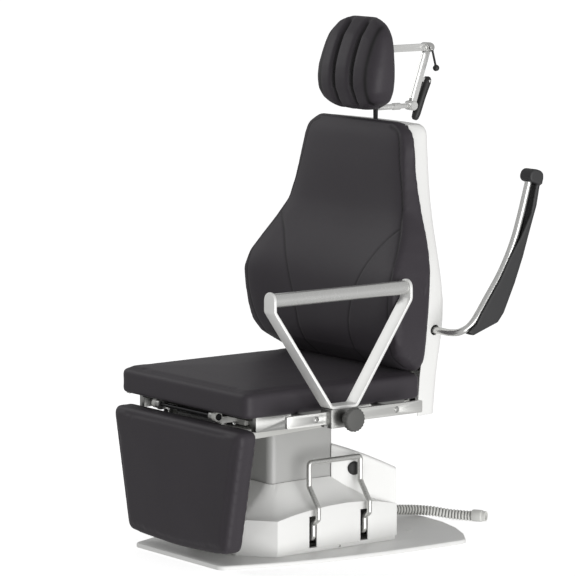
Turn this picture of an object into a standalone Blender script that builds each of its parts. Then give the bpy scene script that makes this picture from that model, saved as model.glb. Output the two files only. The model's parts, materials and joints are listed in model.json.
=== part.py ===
"""Ear, nose and throat examination chair: base, lift column, seat, leg rest, backrest, arms and headrest.

Metres, +Z up. The origin is on the floor under the lift column; the patient faces -Y and the
patient's left is +X. Every piece is drawn where it stands with the chair upright and lowered.
"""

from math import acos, asin, atan2, ceil, cos, pi, radians, sin, tan

import bmesh
import bpy
from mathutils import Vector

for leftover in list(bpy.data.objects):
    bpy.data.objects.remove(leftover, do_unlink=True)

# Fits
FIT = 0.0003  # gap between faces that bear on each other
RUN = 0.003  # gap round parts that travel past each other

# Floor plate and plinth
PLATE_THICK = 0.012
PLATE_RIM = 0.004
PLATE_FRONT = -0.315
PLATE_FRONT_HALF = 0.188
PLATE_REAR = 0.5135
PLATE_REAR_HALF = 0.300
PLATE_CORNER_Y = 0.404
PLATE_FLARE = 2.6
PLATE_FRONT_ROUND = 0.022
PLATE_REAR_ROUND = 0.030
PLINTH_HEIGHT = 0.0115
PLINTH_STEP = 0.003
PLINTH_WALL = 0.014

# Moulded base cover
BASE_HALF = 0.1944
BASE_FRONT = -0.207
BASE_FRONT_HALF = 0.106
BASE_CORNER_Y = -0.136
BASE_REAR = 0.2546
BASE_WALL = 0.004
ARCH_FOOT = 0.1064
ARCH_CROWN = 0.130
ARCH_CROWN_Y = 0.085
ARCH_REAR = 0.1085
SHOULDER_TOP = 0.192
SHOULDER_DISH = 1.5
HUMP_FRONT = 0.070
HUMP_FRONT_HALF = 0.110
HUMP_FRONT_TOP = 0.283
HUMP_REAR_TOP = 0.205
HUMP_BULGE = 0.006
HUMP_EDGE = 0.009
HUMP_STEP = 0.0008
CORNER_STEPS = 5
SIDE_STEPS = 7
SLOT_WIDTH = 0.018
SLOT_TOP = 0.107
SLOT_SPARE = 0.007
PORT_Y = 0.150
PORT_HEIGHT = 0.207
PORT_RADIUS = 0.018
PORT_NECK = 0.014
PORT_FLANGE = 0.0025

# Lift column, from the visible cover inwards
COVER_HALF_X = 0.120
COVER_HALF_Y = 0.105
COVER_ROUND = 0.020
COVER_WALL = 0.004
COLLAR_LAP = 0.002
COVER_BOTTOM = 0.110
COLUMN_TOP = 0.332
HEAD_THICK = 0.012
STAGE_WALL = 0.004
STAGE_GAP = 0.004
STAGE_STEP = 0.005
MIDDLE_BOTTOM = 0.080
GLIDE_HEIGHT = 0.030
ACTUATOR_Y = -0.022
ACTUATOR_RADIUS = 0.026
ROD_RADIUS = 0.015
ROD_BOTTOM = 0.030
GEARBOX_HEIGHT = 0.038
MOTOR_Y = 0.046
MOTOR_RADIUS = 0.027
MOTOR_LENGTH = 0.120

# Foot rails
RAIL_TUBE = 0.007
RAIL_FRONT_Y = -0.018
RAIL_REAR_Y = 0.1495
RAIL_STANDOFF = 0.0166
RAIL_KNEE_X = BASE_HALF + RAIL_STANDOFF
RAIL_PIVOT_X = RAIL_KNEE_X - 0.085
RAIL_PIVOT_Z = 0.050
RAIL_KNEE_Z = 0.106
RAIL_SHIN_X = BASE_HALF - 0.0044
RAIL_SHIN_TOP = 0.092
RAIL_HEEL_Z = 0.048
RAIL_ANKLE_Z = 0.131
RAIL_BAR_X = RAIL_KNEE_X - 0.039
RAIL_NECK_Z = 0.181
RAIL_BAR_Z = 0.243
RAIL_BEND = 0.010
SLEEVE_RADIUS = 0.011
SLEEVE_OVERHANG = 0.012
AXLE_RADIUS = 0.006
BRACKET_WIDTH = 0.016
BRACKET_GAUGE = 0.006

# Swivel, carrier and seat frame
RACE_OUTER = 0.090
RACE_INNER = 0.060
RACE_HEIGHT = 0.007
CARRIER_HALF = 0.200
CARRIER_FRONT = -0.228
CARRIER_REAR = 0.080
CARRIER_PLATE = 0.008
CARRIER_WALL = 0.010
CARRIER_DROP = 0.027
CARRIER_TAPER = 0.0125
CARRIER_ROUND = 0.030
BEAM_OUTER = 0.255
BEAM_WIDTH = 0.020
BEAM_FRONT = -0.250
BEAM_REAR = 0.230
BEAM_LIFT = 0.002
CROSS_HEIGHT = 0.029
CROSS_DEPTH = 0.040
CROSS_FRONT_Y = -0.190
CROSS_MIDDLE_Y = 0.030
BOARD_THICK = 0.014
BOARD_FRONT = -0.255

# Seat cushion
SEAT_HALF = 0.275
SEAT_FRONT = -0.2964
SEAT_REAR = 0.267
SEAT_TOP = 0.464
SEAT_CROWN = 0.008
SEAT_CORNER = 0.018
SEAT_EDGE = 0.011
SEAT_DRAW = 0.0025

# Equipment rails at the seat's sides
BAR_INNER = 0.342
BAR_GAUGE = 0.010
BAR_HEIGHT = 0.031
BAR_MIDDLE_Z = 0.3920
BAR_FRONT = -0.225
BAR_REAR = 0.210
BAR_BOLT_FRONT = -0.133
BAR_BOLT_REAR = 0.1256
BAR_BEND = 0.003
SPACER_RADIUS = 0.0064
BOLT_RADIUS = 0.004

# Loop armrest clamped on the left rail
CLAMP_WIDTH = 0.044
CLAMP_INNER_JAW = 0.0165
CLAMP_FRONT = -0.0993
CLAMP_REAR = -0.0126
CLAMP_BOTTOM = BAR_MIDDLE_Z - 0.0245
CLAMP_TOP = BAR_MIDDLE_Z + 0.0235
CLAMP_SLACK = 0.0005
CLAMP_BEND = 0.002
STRAP_GAUGE = 0.008
STRAP_FRONT = -0.274
STRAP_REAR = 0.159
STRAP_BEND = 0.012
GRIP_HEIGHT = 0.704
GRIP_RADIUS = 0.018
STRAP_NECK = GRIP_HEIGHT - GRIP_RADIUS - 0.010
KNOB_RADIUS = 0.031
KNOB_LOBE = 0.0012
KNOB_LOBES = 20
KNOB_THICK = 0.017
KNOB_STALK = 0.029
KNOB_SCREW = 0.0045

# Leg rest
LEG_PIVOT_Y = -0.282
LEG_PIVOT_Z = 0.385
LEG_TOP = 0.365
LEG_BOTTOM = 0.046
LEG_BOW = 0.010
LEG_TOP_HALF = 0.282
LEG_BOTTOM_HALF = 0.214
LEG_BACK = -0.265
LEG_THICK = 0.052
LEG_CROWN = 0.005
LEG_CORNER = 0.018
LEG_EDGE = 0.011
LEG_DRAW = 0.002
LEG_PLATE = 0.005
LEG_PLATE_HALF = 0.170
LEG_PLATE_BOTTOM = 0.100
LEG_PLATE_TOP_GAP = 0.018
LEG_ARM_INNER = 0.110
LEG_ARM_WIDTH = 0.0145
LEG_ARM_BOTTOM = 0.270
LEG_ARM_DEPTH = 0.014
EAR_GAUGE = 0.014
EAR_RADIUS = 0.0125
EAR_RISE = 0.0125
EAR_FLANGE = 0.045
PIN_RADIUS = 0.005
PIN_HEAD = 0.009
PIN_HEAD_THICK = 0.004
DRIVE_RADIUS = 0.0165
DRIVE_HALF = 0.100

# Backrest
BACK_PIVOT_Y = 0.285
BACK_PIVOT_Z = 0.385
BACK_BOTTOM = 0.466
BACK_TOP = 1.107
BACK_HALF = 0.320
WING_DEPTH = 0.150
CUSHION_BEND = 0.020
CUSHION_SEAM = 0.006
PARTING_Y = 0.277
PARTING_LEAN = 0.022
BACK_BOARD = 0.012
BOARD_GAP = 0.001
SHELL_BOTTOM = 0.3465
SHELL_TOP = 1.100
SHELL_WALL = 0.004
SHELL_CROWN = 0.014
SHELL_ROUND = 0.024
YOKE_INNER = 0.188
YOKE_WIDTH = 0.0145
YOKE_TOP = 0.620
YOKE_GAUGE = 0.012

# Swing armrests on the backrest
ARM_PIVOT_Y = 0.308
ARM_PIVOT_Z = 0.573
ARM_TUBE = 0.009
ARM_INNER_END = 0.2345
ARM_X = 0.390
ARM_WALL = 0.005
ARM_WIDTH = 0.034
ARM_BEND = 0.012
ARM_CAP = 0.036
ARM_CAP_LENGTH = 0.044
ARM_CAP_FRONT = 0.016
ARM_CAP_REAR = 0.031
BLOCK_INNER = 0.236
BLOCK_WIDTH = 0.026
BLOCK_HALF = 0.020
ARM_HOLE = 0.0135

# Headrest
POST_HALF = 0.006
POST_GAUGE = 0.008
POST_Y = 0.333
POST_BOTTOM = 0.900
GUIDE_WALL = 0.007
GUIDE_BOTTOM = 0.990
LOWER_JOINT_Y = 0.453
LOWER_JOINT_Z = 1.129
UPPER_JOINT_Y = 0.507
UPPER_JOINT_Z = 1.282
JOINT_RADIUS = 0.013
LINK_GAUGE = 0.0042
LINK_HALF = 0.0068
LINK_END_SIDES = 10
LINK_SLIT = 0.0012
LINK_RELIEF = 0.018
EYE_HALF = 0.006
JOINT_PIN = 0.005
JOINT_CAP = 0.0125
JOINT_CAP_THICK = 0.006
TRUNNION_RADIUS = 0.003
POST_TOP = LOWER_JOINT_Z + 0.010
ARM_BAR_RADIUS = 0.0075
ARM_COLLAR_RADIUS = 0.0095
HEAD_BAR_HEIGHT = 0.019
HEAD_PLATE_HALF = 0.045
HEAD_PLATE_RISE = 0.040
HEAD_PLATE_DROP = 0.012
HEAD_HALF = 0.128
HEAD_BOTTOM = 1.133
HEAD_TOP = 1.3715
HEAD_BACK = 0.302
HEAD_DEPTH = 0.074
HEAD_BEND = 0.026
HEAD_PLATE = 0.005
FLUTE_X = 0.037
FLUTE_WIDTH = 0.010
FLUTE_DEPTH = 0.010
HANDLE_PIVOT_Y = 0.505
HANDLE_PIVOT_Z = 1.192
HANDLE_LENGTH = 0.108
HANDLE_RADIUS = 0.0100
HANDLE_LEAN = radians(22.4)
LUG_HALF = 0.006
LUG_GAUGE = 0.006
FORK_RADIUS = 0.013
LEVER_DROP = 0.0545
LEVER_SPLAY = 0.010
LEVER_REACH = 0.007
LEVER_RADIUS = 0.003
LEVER_BALL = 0.009

# Ribbed hose on the floor behind the base
HOSE_RADIUS = 0.014
HOSE_VALLEY = 0.0118
HOSE_BORE = 0.0098
HOSE_PITCH = 0.012
HOSE_X = -0.030
HOSE_Z = 0.046
GLAND_LENGTH = 0.028
GLAND_RADIUS = 0.021
CUFF_LENGTH = 0.040
CUFF_RADIUS = 0.0165

# Levels that follow from the stack of pieces under the cushion
COVER_FOOT = PLATE_THICK + FIT + PLINTH_HEIGHT + FIT
RACE_LOW_Z = COLUMN_TOP + FIT
RACE_HIGH_Z = RACE_LOW_Z + RACE_HEIGHT + FIT
CARRIER_Z = RACE_HIGH_Z + RACE_HEIGHT + FIT
FRAME_Z = CARRIER_Z + CARRIER_PLATE + FIT
BOARD_Z = FRAME_Z + CROSS_HEIGHT + FIT
FRAME_TOP = BOARD_Z + BOARD_THICK
SEAT_BOTTOM = FRAME_TOP + FIT
CROSS_REAR_Y = BEAM_REAR - CROSS_DEPTH / 2

PLACES = {}


# Finishes


def finish(name, colour, roughness, metallic=0.0):
    material = bpy.data.materials.new(name)
    material.use_nodes = True
    shader = material.node_tree.nodes["Principled BSDF"]
    shader.inputs["Base Color"].default_value = (*colour, 1.0)
    shader.inputs["Roughness"].default_value = roughness
    shader.inputs["Metallic"].default_value = metallic
    return material


WHITE_LACQUER = finish("white_lacquer", (0.80, 0.80, 0.79), 0.40)
WHITE_MOULDING = finish("white_moulding", (0.82, 0.82, 0.81), 0.45)
UPHOLSTERY = finish("charcoal_upholstery", (0.051, 0.047, 0.051), 0.55)
SATIN_STEEL = finish("satin_steel", (0.62, 0.62, 0.60), 0.30, 1.0)
BRIGHT_STEEL = finish("bright_steel", (0.75, 0.75, 0.74), 0.15, 1.0)
GREY_PAINT = finish("grey_painted_steel", (0.46, 0.47, 0.45), 0.45)
BLACK_PLASTIC = finish("black_plastic", (0.012, 0.012, 0.012), 0.45)
DARK_FOAM = finish("dark_moulded_foam", (0.060, 0.060, 0.060), 0.60)
GREY_PLASTIC = finish("grey_plastic", (0.125, 0.125, 0.122), 0.50)
PLYWOOD = finish("plywood", (0.45, 0.31, 0.17), 0.70)
HOSE_PLASTIC = finish("pale_hose_plastic", (0.62, 0.62, 0.60), 0.50)


# Placing


def pivot(name, place, carrier=None):
    """An empty on a joint's axis, which carries the pieces that move with that joint."""
    empty = bpy.data.objects.new(name, None)
    bpy.context.collection.objects.link(empty)
    PLACES[name] = Vector(place)
    empty.location = PLACES[name]
    if carrier:
        empty.parent = carrier
        empty.location = PLACES[name] - PLACES[carrier.name]
    return empty


def solid(name, shape, material=None, carrier=None):
    """Turns a drawn shape into a named piece that hangs on its joint's empty."""
    bmesh.ops.recalc_face_normals(shape, faces=shape.faces)
    mesh = bpy.data.meshes.new(name)
    shape.to_mesh(mesh)
    shape.free()
    mesh.shade_smooth()
    mesh.set_sharp_from_angle(angle=radians(38))
    piece = bpy.data.objects.new(name, mesh)
    bpy.context.collection.objects.link(piece)
    if material:
        mesh.materials.append(material)
    if carrier:
        piece.parent = carrier
        piece.location = -PLACES[carrier.name]
    return piece


def combine(piece, operation, *shapes):
    """Joins shapes to a piece, or cuts them from it; the shapes stay as hidden helpers."""
    for shape in shapes:
        helper = solid(f"{piece.name}_{operation.lower()}_{len(piece.modifiers)}", shape)
        helper.hide_render = True
        helper.display_type = "WIRE"
        step = piece.modifiers.new(operation.title(), "BOOLEAN")
        step.operation = operation
        step.solver = "EXACT"
        step.object = helper


# Drawing


def lay(outline, plane, level):
    """Sets a flat outline into space: plane xy, yz or xz at the given level of the third axis."""
    if plane == "xy":
        return [Vector((u, v, level)) for u, v in outline]
    if plane == "yz":
        return [Vector((level, u, v)) for u, v in outline]
    return [Vector((u, level, v)) for u, v in outline]


def loft(rings, looped=False):
    """A skin over rings of equal point counts, closed by end faces, or joined end to end."""
    shape = bmesh.new()
    rows = [[shape.verts.new(point) for point in ring] for ring in rings]
    pairs = list(zip(rows, rows[1:]))
    if looped:
        pairs.append((rows[-1], rows[0]))
    for low, high in pairs:
        for here in range(len(low)):
            beside = (here + 1) % len(low)
            shape.faces.new((low[here], low[beside], high[beside], high[here]))
    if not looped:
        shape.faces.new(rows[0])
        shape.faces.new(rows[-1])
    return shape


def prism(outline, plane, low, high):
    return loft([lay(outline, plane, low), lay(outline, plane, high)])


def tube_prism(outer, inner, plane, low, high):
    """A straight wall between two outlines of equal point counts."""
    return loft(
        [lay(outer, plane, low), lay(outer, plane, high), lay(inner, plane, high), lay(inner, plane, low)],
        looped=True,
    )


def box(low, high):
    (x0, y0, z0), (x1, y1, z1) = low, high
    return prism([(x0, y0), (x1, y0), (x1, y1), (x0, y1)], "xy", z0, z1)


def circle(radius, sides, centre=(0.0, 0.0)):
    steps = [2 * pi * (i + 0.5) / sides for i in range(sides)]
    return [(centre[0] + radius * cos(a), centre[1] + radius * sin(a)) for a in steps]


def round_corners(corners, radius, steps=4):
    """A closed outline with each corner turned by an arc; a corner's third value is its own radius."""
    outline = []
    for index, corner in enumerate(corners):
        bend = corner[2] if len(corner) > 2 else radius
        here = Vector(corner[:2])
        back = (Vector(corners[index - 1][:2]) - here).normalized()
        ahead = (Vector(corners[(index + 1) % len(corners)][:2]) - here).normalized()
        if bend == 0:
            outline.append(tuple(here))
            continue
        half = back.angle(ahead) / 2
        centre = here + (back + ahead).normalized() * bend / sin(half)
        start = here + back * bend / tan(half) - centre
        end = here + ahead * bend / tan(half) - centre
        sweep = atan2(start.cross(end), start.dot(end))
        for i in range(steps + 1):
            turn = sweep * i / steps
            outline.append(
                (
                    centre.x + start.x * cos(turn) - start.y * sin(turn),
                    centre.y + start.x * sin(turn) + start.y * cos(turn),
                )
            )
    return outline


def rounded_rectangle(half_x, half_y, radius, centre=(0.0, 0.0), steps=4):
    x, y = centre
    left, right, near, far = x - half_x, x + half_x, y - half_y, y + half_y
    return round_corners([(left, near), (right, near), (right, far), (left, far)], radius, steps)


def inset(outline, distance):
    """The same outline, counter-clockwise, drawn in by a distance all round."""
    drawn = []
    for index, point in enumerate(outline):
        here = Vector(point)
        back = (here - Vector(outline[index - 1])).normalized()
        ahead = (Vector(outline[(index + 1) % len(outline)]) - here).normalized()
        inward = Vector((-back.y - ahead.y, back.x + ahead.x))
        if inward.length < 1e-9:
            inward = Vector((-ahead.y, ahead.x))
        inward.normalize()
        reach = distance / max(0.3, inward.dot(Vector((-ahead.y, ahead.x))))
        drawn.append(tuple(here + inward * reach))
    return drawn


def shrunk(outline, share):
    """The outline scaled towards its own middle."""
    middle = sum((Vector(point) for point in outline), Vector((0.0, 0.0))) / len(outline)
    return [tuple(middle + (Vector(point) - middle) * share) for point in outline]


def turned(profile, axis, centre, sides=20, hollow=False):
    """A profile of (radius, distance along the axis) turned about an axis through a centre."""
    along = Vector(axis).normalized()
    across = along.orthogonal().normalized()
    up = along.cross(across)
    rings = []
    for radius, distance in profile:
        foot = Vector(centre) + along * distance
        rings.append([foot + across * u + up * v for u, v in circle(radius, sides)])
    return loft(rings, looped=hollow)


def rod(radius, axis, start, length, sides=20):
    return turned([(radius, 0.0), (radius, length)], axis, start, sides)


def swept(path, sections, side):
    """Carries a flat section, or one section for each point, along a path without twisting it."""
    rings = []
    side = Vector(side)
    for index, here in enumerate(path):
        ahead = path[min(index + 1, len(path) - 1)]
        behind = path[max(index - 1, 0)]
        tangent = (ahead - behind).normalized()
        side = (side - tangent * side.dot(tangent)).normalized()
        up = tangent.cross(side)
        section = sections[index] if isinstance(sections[0], list) else sections
        rings.append([here + side * u + up * v for u, v in section])
    return rings


def bent_path(corners, radius, steps=4):
    """A run of straight lengths whose corners are bent to a radius, as a bent tube is."""
    points = [Vector(corners[0])]
    for before, corner, after in zip(corners, corners[1:], corners[2:]):
        here = Vector(corner)
        back = (Vector(before) - here).normalized()
        ahead = (Vector(after) - here).normalized()
        half = back.angle(ahead) / 2
        centre = here + (back + ahead).normalized() * radius / sin(half)
        start = here + back * radius / tan(half) - centre
        end = here + ahead * radius / tan(half) - centre
        for i in range(steps + 1):
            points.append(centre + start.slerp(end, i / steps).normalized() * start.length)
    points.append(Vector(corners[-1]))
    return points


def smooth_path(marks, step):
    """Points about a step apart on a smooth curve through the marks."""
    marks = [Vector(mark) for mark in marks]
    ends = [marks[0] * 2 - marks[1], *marks, marks[-1] * 2 - marks[-2]]
    points = [marks[0]]
    for a, b, c, d in zip(ends, ends[1:], ends[2:], ends[3:]):
        count = max(1, ceil((c - b).length / step))
        for i in range(1, count + 1):
            t = i / count
            bow = (a * 2 - b * 5 + c * 4 - d) * t**2 + (b * 3 - a - c * 3 + d) * t**3
            points.append((b * 2 + (c - a) * t + bow) / 2)
    return points


def between(stations, height):
    """A smooth value at a height from a few (height, value) stations, rising in height."""
    heights = [station[0] for station in stations]
    values = [station[1] for station in stations]
    if height <= heights[0]:
        return values[0]
    if height >= heights[-1]:
        return values[-1]
    last = len(stations) - 1
    slopes = []
    for i in range(last + 1):
        low, high = max(i - 1, 0), min(i + 1, last)
        slopes.append((values[high] - values[low]) / (heights[high] - heights[low]))
    index = max(i for i in range(last) if heights[i] <= height)
    span = heights[index + 1] - heights[index]
    t = (height - heights[index]) / span
    return (
        values[index] * (2 * t**3 - 3 * t**2 + 1)
        + slopes[index] * span * (t**3 - 2 * t**2 + t)
        + values[index + 1] * (3 * t**2 - 2 * t**3)
        + slopes[index + 1] * span * (t**3 - t**2)
    )


def pillow(outline, plane, back, front, edge, draw, crown):
    """A padded form: a flat back, sides drawn in at mid height, a rounded edge and a crowned face."""
    way = 1 if front > back else -1
    seam = edge * 0.35
    rings = [
        lay(inset(outline, seam), plane, back),
        lay(outline, plane, back + way * seam),
        lay(inset(outline, draw), plane, (back + front) / 2),
    ]
    for i in range(5):
        turn = pi / 2 * i / 4
        level = front - way * edge * (1 - sin(turn))
        rings.append(lay(inset(outline, edge * (1 - cos(turn))), plane, level))
    face = inset(outline, edge)
    for share in (0.85, 0.6, 0.3):
        rings.append(lay(shrunk(face, share), plane, front + way * crown * (1 - share**2)))
    return loft(rings)


# Floor plate and plinth


def plate_outline():
    """Narrow in front, flaring to the rear, where it ends in a shallow arc."""
    sag = PLATE_REAR - PLATE_CORNER_Y
    radius = (PLATE_REAR_HALF**2 + sag**2) / (2 * sag)
    depth = PLATE_CORNER_Y - PLATE_FRONT
    side = []
    for i in range(9):
        share = 1 - i / 8
        half = PLATE_REAR_HALF - (PLATE_REAR_HALF - PLATE_FRONT_HALF) * share**PLATE_FLARE
        corner = {0: PLATE_FRONT_ROUND, 8: PLATE_REAR_ROUND}.get(i, 0)
        side.append((half, PLATE_CORNER_Y - depth * share, corner))
    widest = asin(PLATE_REAR_HALF / radius)
    for turn in (0.75, 0.5, 0.25):
        angle = widest * turn
        side.append((radius * sin(angle), PLATE_REAR - radius * (1 - cos(angle)), 0))
    mirrored = [(-x, y, r) for x, y, r in reversed(side)]
    return round_corners([*side, (0.0, PLATE_REAR, 0), *mirrored], 0.0)


def base_outline(draw=0.0):
    """Plan of the base cover's wall, with its chamfered front corners, from the front middle round."""
    half, front, rear = BASE_HALF - draw, BASE_FRONT + draw, BASE_REAR - draw
    slope = draw * tan(pi / 8)
    start, end = Vector((BASE_FRONT_HALF - slope, front)), Vector((half, BASE_CORNER_Y + slope))
    right = [(0.0, front), (start.x / 2, front)]
    right += [tuple(start.lerp(end, i / CORNER_STEPS)) for i in range(CORNER_STEPS)]
    right += [(half, end.y + (rear - end.y) * i / SIDE_STEPS) for i in range(SIDE_STEPS + 1)]
    right += [(half * 0.55, rear)]
    return [*right, (0.0, rear), *[(-x, y) for x, y in reversed(right[1:])]]


def wall_top(y):
    """Height of the wall's arched top edge at a place along the side."""
    if y < ARCH_CROWN_Y:
        share = min(1.0, (ARCH_CROWN_Y - y) / (ARCH_CROWN_Y - BASE_CORNER_Y))
        return ARCH_CROWN - (ARCH_CROWN - ARCH_FOOT) * share**2
    return ARCH_CROWN - (ARCH_CROWN - ARCH_REAR) * ((y - ARCH_CROWN_Y) / (BASE_REAR - ARCH_CROWN_Y)) ** 2


def collar_outline():
    """Plan of the shoulder's top round the column, point for point with the wall's plan."""
    half_x, half_y = COVER_HALF_X + RUN - COLLAR_LAP, COVER_HALF_Y + RUN - COLLAR_LAP
    bend = COVER_ROUND + RUN
    right = [(0.0, -half_y), ((half_x - bend) / 2, -half_y)]
    for i in range(CORNER_STEPS):
        turn = pi / 2 * i / CORNER_STEPS
        right.append((half_x - bend * (1 - sin(turn)), -half_y + bend * (1 - cos(turn))))
    right += [(half_x, (half_y - bend) * (2 * i / SIDE_STEPS - 1)) for i in range(SIDE_STEPS + 1)]
    right += [(half_x * 0.55, half_y)]
    return [*right, (0.0, half_y), *[(-x, y) for x, y in reversed(right[1:])]]


def shoulder_body(draw, foot):
    """Upright wall with an arched top, then a shoulder that sweeps up to the column in a hollow curve."""
    wall = base_outline(draw)
    collar = collar_outline()
    rings = [lay(wall, "xy", foot)]
    for share in (0.0, 0.14, 0.3, 0.5, 0.75, 1.0):
        ring = []
        for outer, inner in zip(wall, collar):
            low = wall_top(outer[1]) - draw
            height = low + (SHOULDER_TOP - draw - low) * share**SHOULDER_DISH
            place = Vector(outer).lerp(Vector(inner), share)
            ring.append(Vector((place.x, place.y, height)))
        rings.append(ring)
    return loft(rings)


def hump_half(y):
    """Half width of the rear hump, which flares from the column to the rear corners."""
    rear_half = BASE_HALF - HUMP_STEP
    share = (y - HUMP_FRONT) / (BASE_REAR - HUMP_STEP - HUMP_FRONT)
    return HUMP_FRONT_HALF + (rear_half - HUMP_FRONT_HALF) * share


def hump_body(draw, front, foot):
    """Rear hump with a roof that slopes down to the back and is rounded along its edges."""
    rear = BASE_REAR - HUMP_STEP - draw
    rings = []
    for i in range(6):
        y = front + (rear - front) * i / 5
        share = (y - HUMP_FRONT) / (BASE_REAR - HUMP_FRONT)
        roof = HUMP_FRONT_TOP + (HUMP_REAR_TOP - HUMP_FRONT_TOP) * share
        roof += 4 * HUMP_BULGE * share * (1 - share) - draw
        half = hump_half(y) - draw
        corners = [(-half, foot, 0), (half, foot, 0), (half, roof), (-half, roof)]
        rings.append(lay(round_corners(corners, HUMP_EDGE), "xz", y))
    return loft(rings)


def build_base(black, white):
    outline = plate_outline()
    plate = loft(
        [
            lay(outline, "xy", 0.0),
            lay(outline, "xy", PLATE_THICK - PLATE_RIM),
            lay(inset(outline, PLATE_RIM * 0.3), "xy", PLATE_THICK - PLATE_RIM * 0.3),
            lay(inset(outline, PLATE_RIM), "xy", PLATE_THICK),
        ]
    )
    solid("floor_plate", plate, WHITE_LACQUER)

    skirt = base_outline(PLINTH_STEP)
    skirt_top = PLATE_THICK + FIT + PLINTH_HEIGHT
    inner = base_outline(PLINTH_STEP + PLINTH_WALL)
    solid("plinth_frame", tube_prism(skirt, inner, "xy", PLATE_THICK + FIT, skirt_top), white)

    cover = solid("base_cover", shoulder_body(0.0, COVER_FOOT), white)
    combine(cover, "UNION", hump_body(0.0, HUMP_FRONT, ARCH_FOOT * 0.8))
    plan = (COVER_HALF_X + RUN, COVER_HALF_Y + RUN, COVER_ROUND + RUN)
    opening = rounded_rectangle(*plan, steps=CORNER_STEPS)
    opening = prism(opening, "xy", ARCH_FOOT, HUMP_FRONT_TOP + BASE_WALL)
    hump_room = hump_body(BASE_WALL, COVER_HALF_Y + RUN + BASE_WALL, ARCH_FOOT * 0.5)
    shoulder_room = shoulder_body(BASE_WALL, COVER_FOOT - BASE_WALL)
    combine(cover, "DIFFERENCE", shoulder_room, hump_room, opening)
    slots = []
    for side in (-1, 1):
        for y in (RAIL_FRONT_Y, RAIL_REAR_Y):
            near, far = sorted((side * (BASE_HALF - 3 * BASE_WALL), side * (BASE_HALF + BASE_WALL)))
            front, back = y - SLOT_WIDTH / 2 - SLOT_SPARE, y + SLOT_WIDTH / 2
            slots.append(box((near, front, 0.0), (far, back, SLOT_TOP)))
    flare = Vector((hump_half(BASE_REAR) - hump_half(HUMP_FRONT), BASE_REAR - HUMP_FRONT, 0.0)).normalized()
    outward = Vector((flare.y, -flare.x, 0.0))
    port = Vector((hump_half(PORT_Y), PORT_Y, PORT_HEIGHT))
    drill = rod(PORT_NECK + FIT, outward, port - outward * 4 * BASE_WALL, 8 * BASE_WALL)
    combine(cover, "DIFFERENCE", *slots, drill)
    grommet = [
        (PORT_NECK * 0.7, -2 * BASE_WALL),
        (PORT_NECK, -1.6 * BASE_WALL),
        (PORT_NECK, FIT),
        (PORT_RADIUS, FIT),
        (PORT_RADIUS, FIT + PORT_FLANGE * 0.6),
        (PORT_RADIUS * 0.9, FIT + PORT_FLANGE),
    ]
    solid("side_port_grommet", turned(grommet, outward, port, 24), black)


# Lift column and its drive


def stage_outlines(step):
    """Outer and inner plan of a column stage; step 0 is the cover and each step fits in the last."""
    draw = step * (STAGE_WALL + STAGE_GAP)
    outer = (COVER_HALF_X - draw, COVER_HALF_Y - draw, COVER_ROUND - draw * 0.4)
    wall = COVER_WALL if step == 0 else STAGE_WALL
    inner = (outer[0] - wall, outer[1] - wall, outer[2] - wall * 0.4)
    return rounded_rectangle(*outer), rounded_rectangle(*inner), inner


def glide(step, top):
    """A plastic ring that fills the gap between a stage and the next one out."""
    outer_stage = stage_outlines(step - 1)[2]
    inner_stage = stage_outlines(step)[0]
    outer = rounded_rectangle(outer_stage[0] - FIT, outer_stage[1] - FIT, outer_stage[2] - FIT)
    return tube_prism(outer, inset(inner_stage, -FIT), "xy", top - GLIDE_HEIGHT, top)


def build_column(lift, middle):
    outer, inner, room = stage_outlines(0)
    solid("column_cover", tube_prism(outer, inner, "xy", COVER_BOTTOM, COLUMN_TOP), WHITE_MOULDING, lift)
    head = rounded_rectangle(room[0] - FIT, room[1] - FIT, room[2] - FIT)
    solid("column_head", prism(head, "xy", COLUMN_TOP - HEAD_THICK, COLUMN_TOP), GREY_PAINT, lift)

    middle_top = COLUMN_TOP - HEAD_THICK - STAGE_STEP
    outer, inner, _ = stage_outlines(1)
    wall = tube_prism(outer, inner, "xy", MIDDLE_BOTTOM, middle_top)
    solid("column_middle_stage", wall, SATIN_STEEL, middle)
    solid("upper_glide_ring", glide(1, middle_top), BLACK_PLASTIC, middle)

    lower_top = middle_top - STAGE_STEP
    outer, inner, _ = stage_outlines(2)
    solid("column_lower_stage", tube_prism(outer, inner, "xy", PLATE_THICK + FIT, lower_top), SATIN_STEEL)
    solid("lower_glide_ring", glide(2, lower_top), BLACK_PLASTIC)

    floor = PLATE_THICK + FIT
    reach = ACTUATOR_RADIUS + 0.006
    gearbox = box(
        (-reach, ACTUATOR_Y - reach, floor),
        (reach, MOTOR_Y + MOTOR_RADIUS, floor + GEARBOX_HEIGHT),
    )
    body = solid("lift_actuator", gearbox, GREY_PAINT)
    barrel_foot = (0, ACTUATOR_Y, floor + GEARBOX_HEIGHT / 2)
    barrel = rod(ACTUATOR_RADIUS, (0, 0, 1), barrel_foot, lower_top - floor - GEARBOX_HEIGHT)
    bore = rod(ROD_RADIUS + FIT, (0, 0, 1), (0, ACTUATOR_Y, ROD_BOTTOM - FIT), COLUMN_TOP)
    combine(body, "UNION", barrel)
    combine(body, "DIFFERENCE", bore)
    rod_length = COLUMN_TOP - HEAD_THICK - FIT - ROD_BOTTOM
    lift_rod = rod(ROD_RADIUS, (0, 0, 1), (0, ACTUATOR_Y, ROD_BOTTOM), rod_length)
    solid("lift_rod", lift_rod, BRIGHT_STEEL, lift)
    motor = [
        (MOTOR_RADIUS, 0.0),
        (MOTOR_RADIUS, MOTOR_LENGTH * 0.85),
        (MOTOR_RADIUS * 0.8, MOTOR_LENGTH * 0.88),
        (MOTOR_RADIUS * 0.8, MOTOR_LENGTH),
    ]
    solid("lift_motor", turned(motor, (0, 0, 1), (0, MOTOR_Y, floor + GEARBOX_HEIGHT + FIT)), BLACK_PLASTIC)


# Foot rails


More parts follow.
